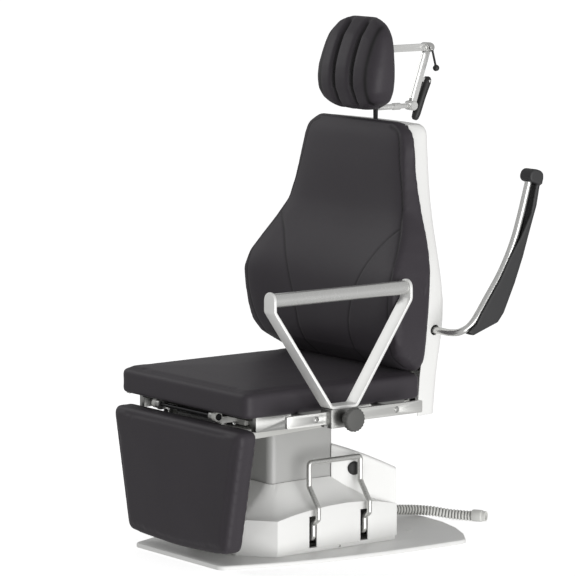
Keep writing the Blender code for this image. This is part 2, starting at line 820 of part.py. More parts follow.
def build_foot_rail(side, name, carrier):
    """A bent tube with two legs that enter the base through slots and hang on an axle inside."""
    toward = Vector((RAIL_SHIN_X - RAIL_PIVOT_X, 0.0, RAIL_HEEL_Z - RAIL_PIVOT_Z)).normalized()
    start = Vector((RAIL_PIVOT_X, 0.0, RAIL_PIVOT_Z)) + toward * (AXLE_RADIUS + SLEEVE_RADIUS) / 2
    leg = [
        (start.x, start.z),
        (RAIL_SHIN_X, RAIL_HEEL_Z),
        (RAIL_SHIN_X, RAIL_SHIN_TOP),
        (RAIL_KNEE_X, RAIL_KNEE_Z),
        (RAIL_KNEE_X, RAIL_ANKLE_Z),
        (RAIL_BAR_X, RAIL_NECK_Z),
        (RAIL_BAR_X, RAIL_BAR_Z),
    ]
    corners = [(side * x, RAIL_FRONT_Y, z) for x, z in leg]
    corners += [(side * x, RAIL_REAR_Y, z) for x, z in reversed(leg)]
    tube = swept(bent_path(corners, RAIL_BEND, 2), circle(RAIL_TUBE, 8), (0, 1, 0))
    rail = solid(f"foot_rail_{name}", loft(tube), SATIN_STEEL, carrier)
    length = RAIL_REAR_Y - RAIL_FRONT_Y + 2 * SLEEVE_OVERHANG
    foot = (side * RAIL_PIVOT_X, RAIL_FRONT_Y - SLEEVE_OVERHANG, RAIL_PIVOT_Z)
    bore = AXLE_RADIUS + FIT
    sleeve = [(SLEEVE_RADIUS, 0.0), (SLEEVE_RADIUS, length), (bore, length), (bore, 0.0)]
    combine(rail, "UNION", turned(sleeve, (0, 1, 0), foot, 16, hollow=True))

    reach = BRACKET_GAUGE + FIT
    low, high = foot[1] - reach, foot[1] + length + reach
    floor, top = PLATE_THICK + FIT, RAIL_PIVOT_Z + SLEEVE_RADIUS
    outline = [
        (low, floor),
        (high, floor),
        (high, top),
        (high - BRACKET_GAUGE, top),
        (high - BRACKET_GAUGE, floor + BRACKET_GAUGE),
        (low + BRACKET_GAUGE, floor + BRACKET_GAUGE),
        (low + BRACKET_GAUGE, top),
        (low, top),
    ]
    middle = side * RAIL_PIVOT_X
    bracket = prism(outline, "yz", middle - BRACKET_WIDTH / 2, middle + BRACKET_WIDTH / 2)
    bracket = solid(f"foot_rail_bracket_{name}", bracket, GREY_PAINT)
    axle_foot = (foot[0], low - BRACKET_GAUGE / 2, RAIL_PIVOT_Z)
    combine(bracket, "UNION", rod(AXLE_RADIUS, (0, 1, 0), axle_foot, high - low + BRACKET_GAUGE, 16))


# Swivel, carrier, frame and seat


def build_seat(lift, seat):
    race = [(RACE_INNER, 0.0), (RACE_OUTER, 0.0), (RACE_OUTER, RACE_HEIGHT), (RACE_INNER, RACE_HEIGHT)]
    for name, z, carrier in (("lower", RACE_LOW_Z, lift), ("upper", RACE_HIGH_Z, seat)):
        ring = turned(race, (0, 0, 1), (0, 0, z), 32, hollow=True)
        solid(f"swivel_race_{name}", ring, BRIGHT_STEEL, carrier)

    top = CARRIER_Z + CARRIER_PLATE
    low = top - CARRIER_DROP
    plan = [
        (-CARRIER_HALF, CARRIER_FRONT, CARRIER_ROUND),
        (CARRIER_HALF, CARRIER_FRONT, CARRIER_ROUND),
        (CARRIER_HALF, CARRIER_REAR),
        (-CARRIER_HALF, CARRIER_REAR),
    ]
    carrier = solid("seat_carrier", prism(round_corners(plan, 0.0), "xy", low, top), GREY_PAINT, seat)
    inner_half = CARRIER_HALF - CARRIER_WALL
    hollow = box(
        (-inner_half, CARRIER_FRONT + CARRIER_WALL, low - CARRIER_WALL),
        (inner_half, CARRIER_REAR + CARRIER_WALL, CARRIER_Z),
    )
    wedge = [
        (CARRIER_FRONT, low),
        (CARRIER_FRONT, low - CARRIER_WALL),
        (CARRIER_REAR + CARRIER_WALL, low - CARRIER_WALL),
        (CARRIER_REAR + CARRIER_WALL, low + CARRIER_TAPER),
    ]
    beyond = CARRIER_HALF + CARRIER_WALL
    combine(carrier, "DIFFERENCE", hollow, prism(wedge, "yz", -beyond, beyond))

    inner = BEAM_OUTER - BEAM_WIDTH
    low, end = FRAME_Z + BEAM_LIFT, BEAM_REAR - BEAM_LIFT
    beam = box((inner, BEAM_FRONT, low), (BEAM_OUTER, end, FRAME_TOP))
    frame = solid("seat_frame", beam, GREY_PAINT, seat)
    lap = BEAM_WIDTH / 2
    for y in (CROSS_FRONT_Y, CROSS_MIDDLE_Y, CROSS_REAR_Y):
        low_corner = (-inner - lap, y - CROSS_DEPTH / 2, FRAME_Z)
        high_corner = (inner + lap, y + CROSS_DEPTH / 2, FRAME_Z + CROSS_HEIGHT)
        combine(frame, "UNION", box(low_corner, high_corner))
    combine(frame, "UNION", box((-BEAM_OUTER, BEAM_FRONT, low), (-inner, end, FRAME_TOP)))

    board_half = inner - FIT
    board = box((-board_half, BOARD_FRONT, BOARD_Z), (board_half, BEAM_REAR, FRAME_TOP))
    solid("seat_board", board, PLYWOOD, seat)
    middle = (SEAT_FRONT + SEAT_REAR) / 2
    outline = rounded_rectangle(SEAT_HALF, (SEAT_REAR - SEAT_FRONT) / 2, SEAT_CORNER, (0.0, middle), 5)
    face = SEAT_TOP - SEAT_CROWN / 2
    cushion = pillow(outline, "xy", SEAT_BOTTOM, face, SEAT_EDGE, SEAT_DRAW, SEAT_CROWN)
    solid("seat_cushion", cushion, UPHOLSTERY, seat)
    return frame


def build_side_rail(side, name, seat, frame):
    """Flat equipment rail bolted to two spacers on the seat frame."""
    half = BAR_HEIGHT / 2
    middle = (BAR_FRONT + BAR_REAR) / 2
    outline = rounded_rectangle((BAR_REAR - BAR_FRONT) / 2, half, BAR_BEND, (middle, BAR_MIDDLE_Z), 2)
    near, far = sorted((side * BAR_INNER, side * (BAR_INNER + BAR_GAUGE)))
    rail = solid(f"side_rail_{name}", prism(outline, "yz", near, far), SATIN_STEEL, seat)
    start = BEAM_OUTER - BEAM_WIDTH / 2
    shoulder = BAR_INNER - FIT - start
    face = BAR_INNER + BAR_GAUGE - FIT - start
    sink = face - BOLT_RADIUS
    for y in (BAR_BOLT_FRONT, BAR_BOLT_REAR):
        foot = (side * start, y, BAR_MIDDLE_Z)
        bolt = [
            (SPACER_RADIUS, 0.0),
            (SPACER_RADIUS, shoulder),
            (BOLT_RADIUS, shoulder),
            (BOLT_RADIUS, sink),
            (2 * BOLT_RADIUS, face),
        ]
        combine(frame, "UNION", turned(bolt, (side, 0, 0), foot, 14))
        hole = [
            (BOLT_RADIUS + FIT, shoulder - FIT),
            (BOLT_RADIUS + FIT, sink - FIT),
            (2 * BOLT_RADIUS + FIT, face - FIT),
            (2 * BOLT_RADIUS + FIT, face + BOLT_RADIUS),
        ]
        combine(rail, "DIFFERENCE", turned(hole, (side, 0, 0), foot, 14))


# Loop armrest on the left rail


def build_loop_armrest(clamp, knob):
    inner = BAR_INNER - CLAMP_INNER_JAW
    outer = inner + CLAMP_WIDTH
    middle_x, middle_y = (inner + outer) / 2, (CLAMP_FRONT + CLAMP_REAR) / 2
    half_y = (CLAMP_REAR - CLAMP_FRONT) / 2
    plan = rounded_rectangle(CLAMP_WIDTH / 2, half_y, CLAMP_BEND, (middle_x, middle_y), 2)
    block = solid("rail_clamp", prism(plan, "xy", CLAMP_BOTTOM, CLAMP_TOP), GREY_PAINT, clamp)
    rail_top = BAR_MIDDLE_Z + BAR_HEIGHT / 2
    slot = box(
        (BAR_INNER - CLAMP_SLACK, CLAMP_FRONT - CLAMP_WIDTH, CLAMP_BOTTOM - CLAMP_WIDTH),
        (BAR_INNER + BAR_GAUGE + CLAMP_SLACK, CLAMP_REAR + CLAMP_WIDTH, rail_top + CLAMP_SLACK),
    )
    rail_face = BAR_INNER + BAR_GAUGE
    drill = rod(KNOB_SCREW + FIT, (1, 0, 0), (rail_face - FIT, middle_y, BAR_MIDDLE_Z), CLAMP_WIDTH, 14)
    combine(block, "DIFFERENCE", slot, drill)

    half = CLAMP_WIDTH / 2
    floor = CLAMP_TOP + FIT + STRAP_GAUGE / 2
    end = GRIP_HEIGHT + half
    corners = [
        (middle_x, STRAP_FRONT, end),
        (middle_x, STRAP_FRONT, STRAP_NECK),
        (middle_x, CLAMP_FRONT + STRAP_GAUGE / 2, floor),
        (middle_x, CLAMP_REAR - STRAP_GAUGE / 2, floor),
        (middle_x, STRAP_REAR, STRAP_NECK),
        (middle_x, STRAP_REAR, end),
    ]
    path = bent_path(corners, STRAP_BEND)
    taps = [half * (1 - cos(radians(a))) for a in (12, 30, 50, 70, 90)]
    widths = [half * sin(radians(a)) for a in (12, 30, 50, 70, 90)]
    down = Vector((0, 0, -1))
    front_end = [path[0] + down * tap for tap in taps]
    rear_end = [path[-1] + down * tap for tap in reversed(taps)]
    path = [*front_end, *path[1:-1], *rear_end]
    widths += [half] * (len(path) - 2 * len(taps)) + widths[::-1]
    gauge = STRAP_GAUGE / 2
    sections = [[(-w, -gauge), (w, -gauge), (w, gauge), (-w, gauge)] for w in widths]
    solid("loop_strap", loft(swept(path, sections, (1, 0, 0))), SATIN_STEEL, clamp)
    start = STRAP_FRONT + gauge + FIT
    grip = rod(GRIP_RADIUS, (0, 1, 0), (middle_x, start, GRIP_HEIGHT), STRAP_REAR - gauge - FIT - start, 24)
    solid("loop_grip_tube", grip, SATIN_STEEL, clamp)

    stalk = outer + KNOB_STALK
    lobed = []
    for i in range(KNOB_LOBES * 3):
        turn = 2 * pi * i / (KNOB_LOBES * 3)
        reach = KNOB_RADIUS + KNOB_LOBE * (cos(KNOB_LOBES * turn) - 1)
        lobed.append((middle_y + reach * cos(turn), BAR_MIDDLE_Z + reach * sin(turn)))
    rings = [(0.86, 0.0), (1.0, 0.18), (1.0, 0.82), (0.9, 1.0)]
    wheel = loft([lay(shrunk(lobed, share), "yz", stalk + KNOB_THICK * depth) for share, depth in rings])
    wheel = solid("clamp_knob", wheel, GREY_PLASTIC, knob)
    tip = rail_face + FIT
    hub = outer + KNOB_STALK * 0.15
    screw = [
        (KNOB_SCREW, 0.0),
        (KNOB_SCREW, hub - tip),
        (3 * KNOB_SCREW, hub - tip),
        (2.2 * KNOB_SCREW, stalk - tip + KNOB_THICK / 2),
    ]
    combine(wheel, "UNION", turned(screw, (1, 0, 0), (tip, middle_y, BAR_MIDDLE_Z), 14))


# Leg rest


def hinge_shaft(reach, y, z):
    """A cross shaft through two pairs of eyes, with a head outside each bracket."""
    outside = reach + FIT
    profile = [
        (PIN_HEAD * 0.85, -outside - PIN_HEAD_THICK),
        (PIN_HEAD, -outside - PIN_HEAD_THICK / 2),
        (PIN_HEAD, -outside),
        (PIN_RADIUS, -outside),
        (PIN_RADIUS, outside),
        (PIN_HEAD, outside),
        (PIN_HEAD, outside + PIN_HEAD_THICK / 2),
        (PIN_HEAD * 0.85, outside + PIN_HEAD_THICK),
    ]
    return turned(profile, (1, 0, 0), (0, y, z), 14)


def build_leg_rest(seat, leg):
    shares = [i / 3 for i in range(-2, 3)]
    bottom = [(LEG_BOTTOM_HALF * share, LEG_BOTTOM - LEG_BOW * (1 - share**2)) for share in shares]
    corners = [
        (-LEG_BOTTOM_HALF, LEG_BOTTOM, LEG_CORNER),
        *[(x, z, 0) for x, z in bottom],
        (LEG_BOTTOM_HALF, LEG_BOTTOM, LEG_CORNER),
        (LEG_TOP_HALF, LEG_TOP, LEG_CORNER),
        (-LEG_TOP_HALF, LEG_TOP, LEG_CORNER),
    ]
    outline = round_corners(corners, LEG_CORNER, 5)
    pad = pillow(outline, "xz", LEG_BACK, LEG_BACK - LEG_THICK, LEG_EDGE, LEG_DRAW, LEG_CROWN)
    solid("leg_rest_pad", pad, UPHOLSTERY, leg)
    plate_y = LEG_BACK + FIT
    plate_top = LEG_TOP - LEG_PLATE_TOP_GAP
    plate_middle = (0.0, (plate_top + LEG_PLATE_BOTTOM) / 2)
    plate = rounded_rectangle(LEG_PLATE_HALF, (plate_top - LEG_PLATE_BOTTOM) / 2, 0.02, plate_middle, 3)
    frame = solid("leg_rest_frame", prism(plate, "xz", plate_y, plate_y + LEG_PLATE), GREY_PAINT, leg)
    arm_front = plate_y + LEG_PLATE / 2
    arm_back = plate_y + LEG_PLATE + LEG_ARM_DEPTH
    arm_outline = [
        (arm_front, LEG_ARM_BOTTOM),
        (arm_back, LEG_ARM_BOTTOM),
        (arm_back, LEG_TOP + EAR_RADIUS),
        (LEG_PIVOT_Y, LEG_PIVOT_Z + EAR_RADIUS * 0.6),
        (LEG_PIVOT_Y - EAR_RADIUS * 0.6, LEG_PIVOT_Z),
        (LEG_PIVOT_Y, LEG_PIVOT_Z - EAR_RADIUS * 0.6),
        (arm_front, LEG_TOP + EAR_RADIUS * 0.35),
    ]
    cross_face = CROSS_FRONT_Y - CROSS_DEPTH / 2 - FIT
    ear_inner = LEG_ARM_INNER + LEG_ARM_WIDTH + FIT
    ear_outer = ear_inner + EAR_GAUGE
    bore = PIN_RADIUS + FIT
    for side, name in ((1, "left"), (-1, "right")):
        near, far = sorted((side * LEG_ARM_INNER, side * (LEG_ARM_INNER + LEG_ARM_WIDTH)))
        eye = rod(EAR_RADIUS, (1, 0, 0), (near, LEG_PIVOT_Y, LEG_PIVOT_Z), far - near)
        combine(frame, "UNION", prism(arm_outline, "yz", near, far), eye)

        near, far = sorted((side * ear_inner, side * ear_outer))
        ear_bar = box(
            (near, LEG_PIVOT_Y + EAR_RADIUS * 0.5, FRAME_Z + EAR_RISE),
            (far, cross_face, FRAME_Z + CROSS_HEIGHT - FIT),
        )
        ear = solid(f"leg_rest_bracket_{name}", ear_bar, GREY_PAINT, seat)
        start, end = sorted((side * (ear_inner + EAR_GAUGE / 2), side * (ear_inner + EAR_FLANGE)))
        flange = box(
            (start, cross_face - EAR_RISE, FRAME_Z + EAR_RISE / 2),
            (end, cross_face - FIT / 2, FRAME_Z + CROSS_HEIGHT - EAR_RISE / 2),
        )
        eye = rod(EAR_RADIUS, (1, 0, 0), (near, LEG_PIVOT_Y, LEG_PIVOT_Z), far - near)
        combine(ear, "UNION", eye, flange)
        foot = (near - PIN_HEAD, LEG_PIVOT_Y, LEG_PIVOT_Z)
        combine(ear, "DIFFERENCE", rod(bore, (1, 0, 0), foot, far - near + 2 * PIN_HEAD, 14))
    start = (-ear_inner, LEG_PIVOT_Y, LEG_PIVOT_Z)
    combine(frame, "DIFFERENCE", rod(bore, (1, 0, 0), start, 2 * ear_inner, 14))
    shaft = hinge_shaft(ear_outer, LEG_PIVOT_Y, LEG_PIVOT_Z)
    solid("leg_rest_shaft", shaft, BRIGHT_STEEL, seat)
    drive_y = cross_face - DRIVE_RADIUS * 0.9
    drive = rod(DRIVE_RADIUS, (1, 0, 0), (-DRIVE_HALF, drive_y, FRAME_Z + CROSS_HEIGHT / 2), 2 * DRIVE_HALF)
    drive = solid("leg_rest_drive", drive, BLACK_PLASTIC, seat)
    reach = DRIVE_HALF + DRIVE_RADIUS
    low, high = drive_y - 2 * DRIVE_RADIUS, cross_face + DRIVE_RADIUS
    trim = box((-reach, cross_face, FRAME_Z - DRIVE_RADIUS), (reach, high, FRAME_TOP))
    lid = box((-reach, low, FRAME_Z + CROSS_HEIGHT), (reach, high, FRAME_TOP + DRIVE_RADIUS))
    foot = box((-reach, low, FRAME_Z - DRIVE_RADIUS), (reach, high, FRAME_Z))
    combine(drive, "DIFFERENCE", trim, lid, foot)


# Backrest


def parting(z):
    """Where the cushion meets the shell: an upright plane that leans back a little."""
    return PARTING_Y + PARTING_LEAN * (z - BACK_BOTTOM)


# Cushion stations: share of its height, then share of its widest half width or of the wings' depth
CUSHION_REAR_EDGE = [
    (0.00, 0.80),
    (0.03, 0.867),
    (0.12, 0.902),
    (0.25, 0.925),
    (0.42, 0.934),
    (0.54, 0.884),
    (0.69, 0.781),
    (0.83, 0.719),
    (0.94, 0.694),
    (0.975, 0.641),
    (1.00, 0.531),
]
CUSHION_FRONT_EDGE = [
    (0.00, 0.766),
    (0.037, 0.85),
    (0.095, 0.959),
    (0.19, 0.994),
    (0.30, 1.00),
    (0.39, 1.00),
    (0.56, 0.875),
    (0.655, 0.775),
    (0.775, 0.723),
    (0.875, 0.68),
    (0.955, 0.641),
    (1.00, 0.50),
]
CUSHION_DEPTH = [
    (0.00, 0.247),
    (0.037, 0.467),
    (0.095, 0.759),
    (0.19, 0.914),
    (0.30, 0.995),
    (0.39, 0.98),
    (0.56, 0.526),
    (0.655, 0.371),
    (0.775, 0.301),
    (0.875, 0.24),
    (0.975, 0.192),
    (1.00, 0.127),
]
CUSHION_DISH = [
    (0.0, 0.0),
    (0.13, 0.08),
    (0.27, 0.187),
    (0.39, 0.233),
    (0.49, 0.133),
    (0.61, 0.04),
    (0.83, -0.02),
]
CUSHION_LEVELS = [0, 0.015, 0.04, 0.08, 0.13, 0.19, 0.27, 0.35, 0.42, 0.49]
CUSHION_LEVELS += [0.56, 0.64, 0.73, 0.83, 0.91, 0.96, 0.985, 1]
SHELL_HALF = [
    (0.3465, 0.254),
    (0.470, 0.262),
    (0.575, 0.283),
    (0.660, 0.291),
    (0.760, 0.284),
    (0.860, 0.254),
    (0.960, 0.227),
    (1.070, 0.206),
    (SHELL_TOP, 0.188),
]
SHELL_REAR = [
    (0.3465, 0.338),
    (0.498, 0.344),
    (0.637, 0.340),
    (0.762, 0.328),
    (0.870, 0.333),
    (1.010, 0.346),
    (1.064, 0.348),
    (SHELL_TOP, 0.336),
]


def back_section(share):
    """Level section through the backrest cushion: flat back, flared wings, a face dished between them."""
    z = BACK_BOTTOM + (BACK_TOP - BACK_BOTTOM) * share
    rear_half = between(CUSHION_REAR_EDGE, share) * BACK_HALF
    half = between(CUSHION_FRONT_EDGE, share) * BACK_HALF
    back = parting(z) - FIT
    depth = between(CUSHION_DEPTH, share) * WING_DEPTH
    front, dish = back - depth, between(CUSHION_DISH, share) * WING_DEPTH
    bend = min(CUSHION_BEND, depth * 0.4)
    seam = min(CUSHION_SEAM, depth * 0.2)
    turns = [pi * i / 10 for i in range(6)]
    edge = [(half - bend * (1 - cos(a)), front + bend * (1 - sin(a))) for a in turns[:-1]]
    right = [(rear_half - seam, back), (rear_half, back - seam), *edge]
    flat = half - bend
    face = [(flat * (1 - i / 5), front + dish * (1 - (1 - i / 5) ** 2)) for i in range(11)]
    return lay([*right, *face, *[(-x, y) for x, y in reversed(right)]], "xy", z)


def shell_section(z, draw, front):
    """Level section through the shell, rounded at its rear edges and crowned across the back."""
    half = between(SHELL_HALF, z) - draw
    rear = between(SHELL_REAR, z) - draw
    points = [(-half, front), (half, front)]
    for i in range(5):
        turn = pi / 2 * i / 4
        points.append((half - SHELL_ROUND * (1 - cos(turn)), rear - SHELL_ROUND * (1 - sin(turn))))
    flat = half - SHELL_ROUND
    for i in range(1, 6):
        share = 1 - i / 3
        points.append((flat * share, rear + SHELL_CROWN * (1 - share**2)))
    for i in range(4, -1, -1):
        turn = pi / 2 * i / 4
        points.append((-half + SHELL_ROUND * (1 - cos(turn)), rear - SHELL_ROUND * (1 - sin(turn))))
    return points


def build_backrest(seat, back):
    rings = [back_section(share) for share in CUSHION_LEVELS]
    solid("backrest_cushion", loft(rings), UPHOLSTERY, back)

    steps = 15
    levels = [SHELL_BOTTOM + (SHELL_TOP - SHELL_BOTTOM) * i / steps for i in range(steps + 1)]
    skin = loft([lay(shell_section(z, 0.0, parting(z)), "xy", z) for z in levels])
    shell = solid("backrest_shell", skin, WHITE_MOULDING, back)
    room_top = SHELL_TOP - SHELL_WALL
    room_levels = [SHELL_BOTTOM + (room_top - SHELL_BOTTOM) * i / steps for i in range(steps + 1)]
    levels = [SHELL_BOTTOM - SHELL_WALL, *room_levels]
    room = loft([lay(shell_section(z, SHELL_WALL, parting(z) - SHELL_WALL), "xy", z) for z in levels])
    post_hole = box(
        (-POST_HALF - RUN, POST_Y - POST_GAUGE / 2 - RUN, room_top - BACK_BOARD),
        (POST_HALF + RUN, POST_Y + POST_GAUGE / 2 + RUN, SHELL_TOP + BACK_BOARD),
    )
    holes = [
        rod(ARM_HOLE, (side, 0, 0), (side * BLOCK_INNER, ARM_PIVOT_Y, ARM_PIVOT_Z), 0.1, 18)
        for side in (-1, 1)
    ]
    combine(shell, "DIFFERENCE", room, post_hole, *holes)

    board_top = room_top - FIT
    levels = [BACK_BOTTOM, *[z for z in room_levels[:-1] if z > BACK_BOTTOM + BACK_BOARD], board_top]
    rings = []
    for z in levels:
        half = between(SHELL_HALF, z) - SHELL_WALL - BOARD_GAP
        near, far = parting(z), parting(z) + BACK_BOARD
        rings.append(lay([(-half, near), (half, near), (half, far), (-half, far)], "xy", z))
    solid("backrest_board", loft(rings), PLYWOOD, back)

    yoke_front = parting(YOKE_TOP) + BACK_BOARD + FIT
    knee = BACK_BOTTOM - YOKE_GAUGE
    outline = [
        (BACK_PIVOT_Y - EAR_RADIUS * 0.6, BACK_PIVOT_Z),
        (BACK_PIVOT_Y + EAR_RADIUS * 0.6, BACK_PIVOT_Z - EAR_RADIUS * 0.4),
        (yoke_front + YOKE_GAUGE, knee - YOKE_GAUGE),
        (yoke_front + YOKE_GAUGE, YOKE_TOP),
        (yoke_front, YOKE_TOP),
        (yoke_front, knee),
    ]
    cross_face = BEAM_REAR + FIT
    ear_inner = YOKE_INNER + YOKE_WIDTH + FIT
    ear_outer = ear_inner + EAR_GAUGE
    bore = PIN_RADIUS + FIT
    lap = YOKE_WIDTH / 2
    bridge = box(
        (-YOKE_INNER - lap, yoke_front + FIT, YOKE_TOP - 2 * YOKE_WIDTH),
        (YOKE_INNER + lap, yoke_front + YOKE_GAUGE - FIT, YOKE_TOP - FIT),
    )
    yoke = solid("recline_yoke", bridge, SATIN_STEEL, back)
    for side, name in ((1, "left"), (-1, "right")):
        near, far = sorted((side * YOKE_INNER, side * (YOKE_INNER + YOKE_WIDTH)))
        eye = rod(EAR_RADIUS, (1, 0, 0), (near, BACK_PIVOT_Y, BACK_PIVOT_Z), far - near)
        combine(yoke, "UNION", prism(outline, "yz", near, far), eye)

        near, far = sorted((side * ear_inner, side * ear_outer))
        ear_end = BACK_PIVOT_Y - EAR_RADIUS * 0.5
        bar = box((near, cross_face, FRAME_Z + EAR_RISE), (far, ear_end, FRAME_Z + CROSS_HEIGHT - FIT))
        ear = solid(f"recline_bracket_{name}", bar, GREY_PAINT, seat)
        combine(ear, "UNION", rod(EAR_RADIUS, (1, 0, 0), (near, BACK_PIVOT_Y, BACK_PIVOT_Z), far - near))
        drill = (near - PIN_HEAD, BACK_PIVOT_Y, BACK_PIVOT_Z)
        combine(ear, "DIFFERENCE", rod(bore, (1, 0, 0), drill, far - near + 2 * PIN_HEAD, 14))
    start = (-ear_inner, BACK_PIVOT_Y, BACK_PIVOT_Z)
    combine(yoke, "DIFFERENCE", rod(bore, (1, 0, 0), start, 2 * ear_inner, 14))
    solid("recline_shaft", hinge_shaft(ear_outer, BACK_PIVOT_Y, BACK_PIVOT_Z), BRIGHT_STEEL, seat)
    drive_y = cross_face + DRIVE_RADIUS * 0.9
    drive = rod(DRIVE_RADIUS, (1, 0, 0), (-DRIVE_HALF, drive_y, FRAME_Z + CROSS_HEIGHT / 2), 2 * DRIVE_HALF)
    drive = solid("recline_drive", drive, BLACK_PLASTIC, seat)
    reach = DRIVE_HALF + DRIVE_RADIUS
    trim = box((-reach, cross_face - DRIVE_RADIUS, FRAME_Z - DRIVE_RADIUS), (reach, cross_face, FRAME_TOP))
    combine(drive, "DIFFERENCE", trim)


# Swing armrests


# Swing armrest seen from the side, from elbow to tip: the tube's marks as (x, y, z), then the pad's
# outer rim, its back, and how far its inner rim is set back
ARM_MARKS = [
    (ARM_INNER_END, ARM_PIVOT_Y, ARM_PIVOT_Z),
    (0.300, ARM_PIVOT_Y, ARM_PIVOT_Z),
    (0.345, ARM_PIVOT_Y + 0.001, ARM_PIVOT_Z),
    (0.378, 0.318, 0.580),
    (ARM_X, 0.345, 0.602),
    (ARM_X, 0.393, 0.663),
    (ARM_X, 0.441, 0.729),
    (ARM_X, 0.4785, 0.800),
    (ARM_X, 0.503, 0.868),
    (ARM_X, 0.5285, 0.9532),
]
ARM_PAD = [
    ((0.317, 0.580), (0.338, 0.569), 0.020),
    ((0.345, 0.599), (0.422, 0.597), 0.022),
    ((0.359, 0.622), (0.442, 0.620), 0.019),
    ((0.426, 0.7125), (0.478, 0.693), 0.0155),
    ((0.457, 0.765), (0.5055, 0.761), 0.0145),
    ((0.496, 0.820), (0.529, 0.8325), 0.0),
    ((0.526, 0.873), (0.549, 0.894), 0.0),
    ((0.546, 0.960), (0.562, 0.968), 0.0),
]


def build_swing_armrest(side, name, back, arm):
    path = [Vector((side * p.x, p.y, p.z)) for p in smooth_path(ARM_MARKS, 3 * ARM_TUBE)]
    solid(f"armrest_tube_{name}", loft(swept(path, circle(ARM_TUBE, 10), (0, 0, 1))), SATIN_STEEL, arm)

    rings = []
    half = ARM_WIDTH / 2
    hollow = half - ARM_WALL
    for rim, rear, setback in ARM_PAD:
        rim, rear = Vector(rim), Vector(rear)
        depth = (rear - rim).length
        bend = min(ARM_BEND, depth * 0.35)
        setback = min(setback, depth - ARM_WALL - bend)
        corner = [(half, depth - bend), (half - bend * 0.3, depth - bend * 0.3), (half - bend, depth)]
        floor = [(hollow, depth - ARM_WALL - bend * 0.5), (hollow - bend * 0.5, depth - ARM_WALL)]
        section = [(half, 0.0), *corner, *[(-u, v) for u, v in reversed(corner)], (-half, setback)]
        section += [(-hollow, setback), *[(-u, v) for u, v in floor], *reversed(floor), (hollow, 0.0)]
        way = (rear - rim).normalized()
        rings.append(
            [Vector((side * (ARM_X + u), rim.x + way.x * v, rim.y + way.y * v)) for u, v in section]
        )
    pad = solid(f"armrest_pad_{name}", loft(rings), DARK_FOAM, arm)
    end, before = path[-1], path[-2]
    along = Vector((end.y - before.y, end.z - before.z)).normalized()
    across = Vector((along.y, -along.x))
    foot = Vector((end.y, end.z)) + along * FIT
    corners = [
        (-ARM_CAP_FRONT, 0.0, ARM_CAP * 0.4),
        (ARM_CAP_REAR, 0.0, ARM_CAP * 0.1),
        (ARM_CAP_REAR, ARM_CAP, ARM_CAP * 0.5),
        (-ARM_CAP_FRONT, ARM_CAP, ARM_CAP * 0.5),
    ]
    cap = round_corners([(*(foot + across * u + along * v), bend) for u, v, bend in corners], 0.0)
    near, far = sorted((side * (ARM_X - ARM_CAP_LENGTH / 2), side * (ARM_X + ARM_CAP_LENGTH / 2)))
    combine(pad, "UNION", prism(cap, "yz", near, far))

    near, far = sorted((side * BLOCK_INNER, side * (BLOCK_INNER + BLOCK_WIDTH)))
    front = parting(ARM_PIVOT_Z + BLOCK_HALF) + BACK_BOARD + FIT
    low, high = ARM_PIVOT_Z - BLOCK_HALF, ARM_PIVOT_Z + BLOCK_HALF
    bearing = box((near, front, low), (far, ARM_PIVOT_Y + BLOCK_HALF, high))
    bearing = solid(f"armrest_bearing_{name}", bearing, BLACK_PLASTIC, back)
    drill = (near - BLOCK_WIDTH, ARM_PIVOT_Y, ARM_PIVOT_Z)
    combine(bearing, "DIFFERENCE", rod(ARM_TUBE + FIT, (1, 0, 0), drill, far - near + 2 * BLOCK_WIDTH, 24))


# Headrest


def joint_pin(face, centre):
    """A pin across a headrest joint with a round cap outside each link plate."""
    profile = [
        (JOINT_CAP * 0.85, -face - JOINT_CAP_THICK),
        (JOINT_CAP, -face - JOINT_CAP_THICK * 0.7),
        (JOINT_CAP, -face),
        (JOINT_PIN, -face),
        (JOINT_PIN, face),
        (JOINT_CAP, face),
        (JOINT_CAP, face + JOINT_CAP_THICK * 0.7),
        (JOINT_CAP * 0.85, face + JOINT_CAP_THICK),
    ]
    return turned(profile, (1, 0, 0), (0, *centre), 12)


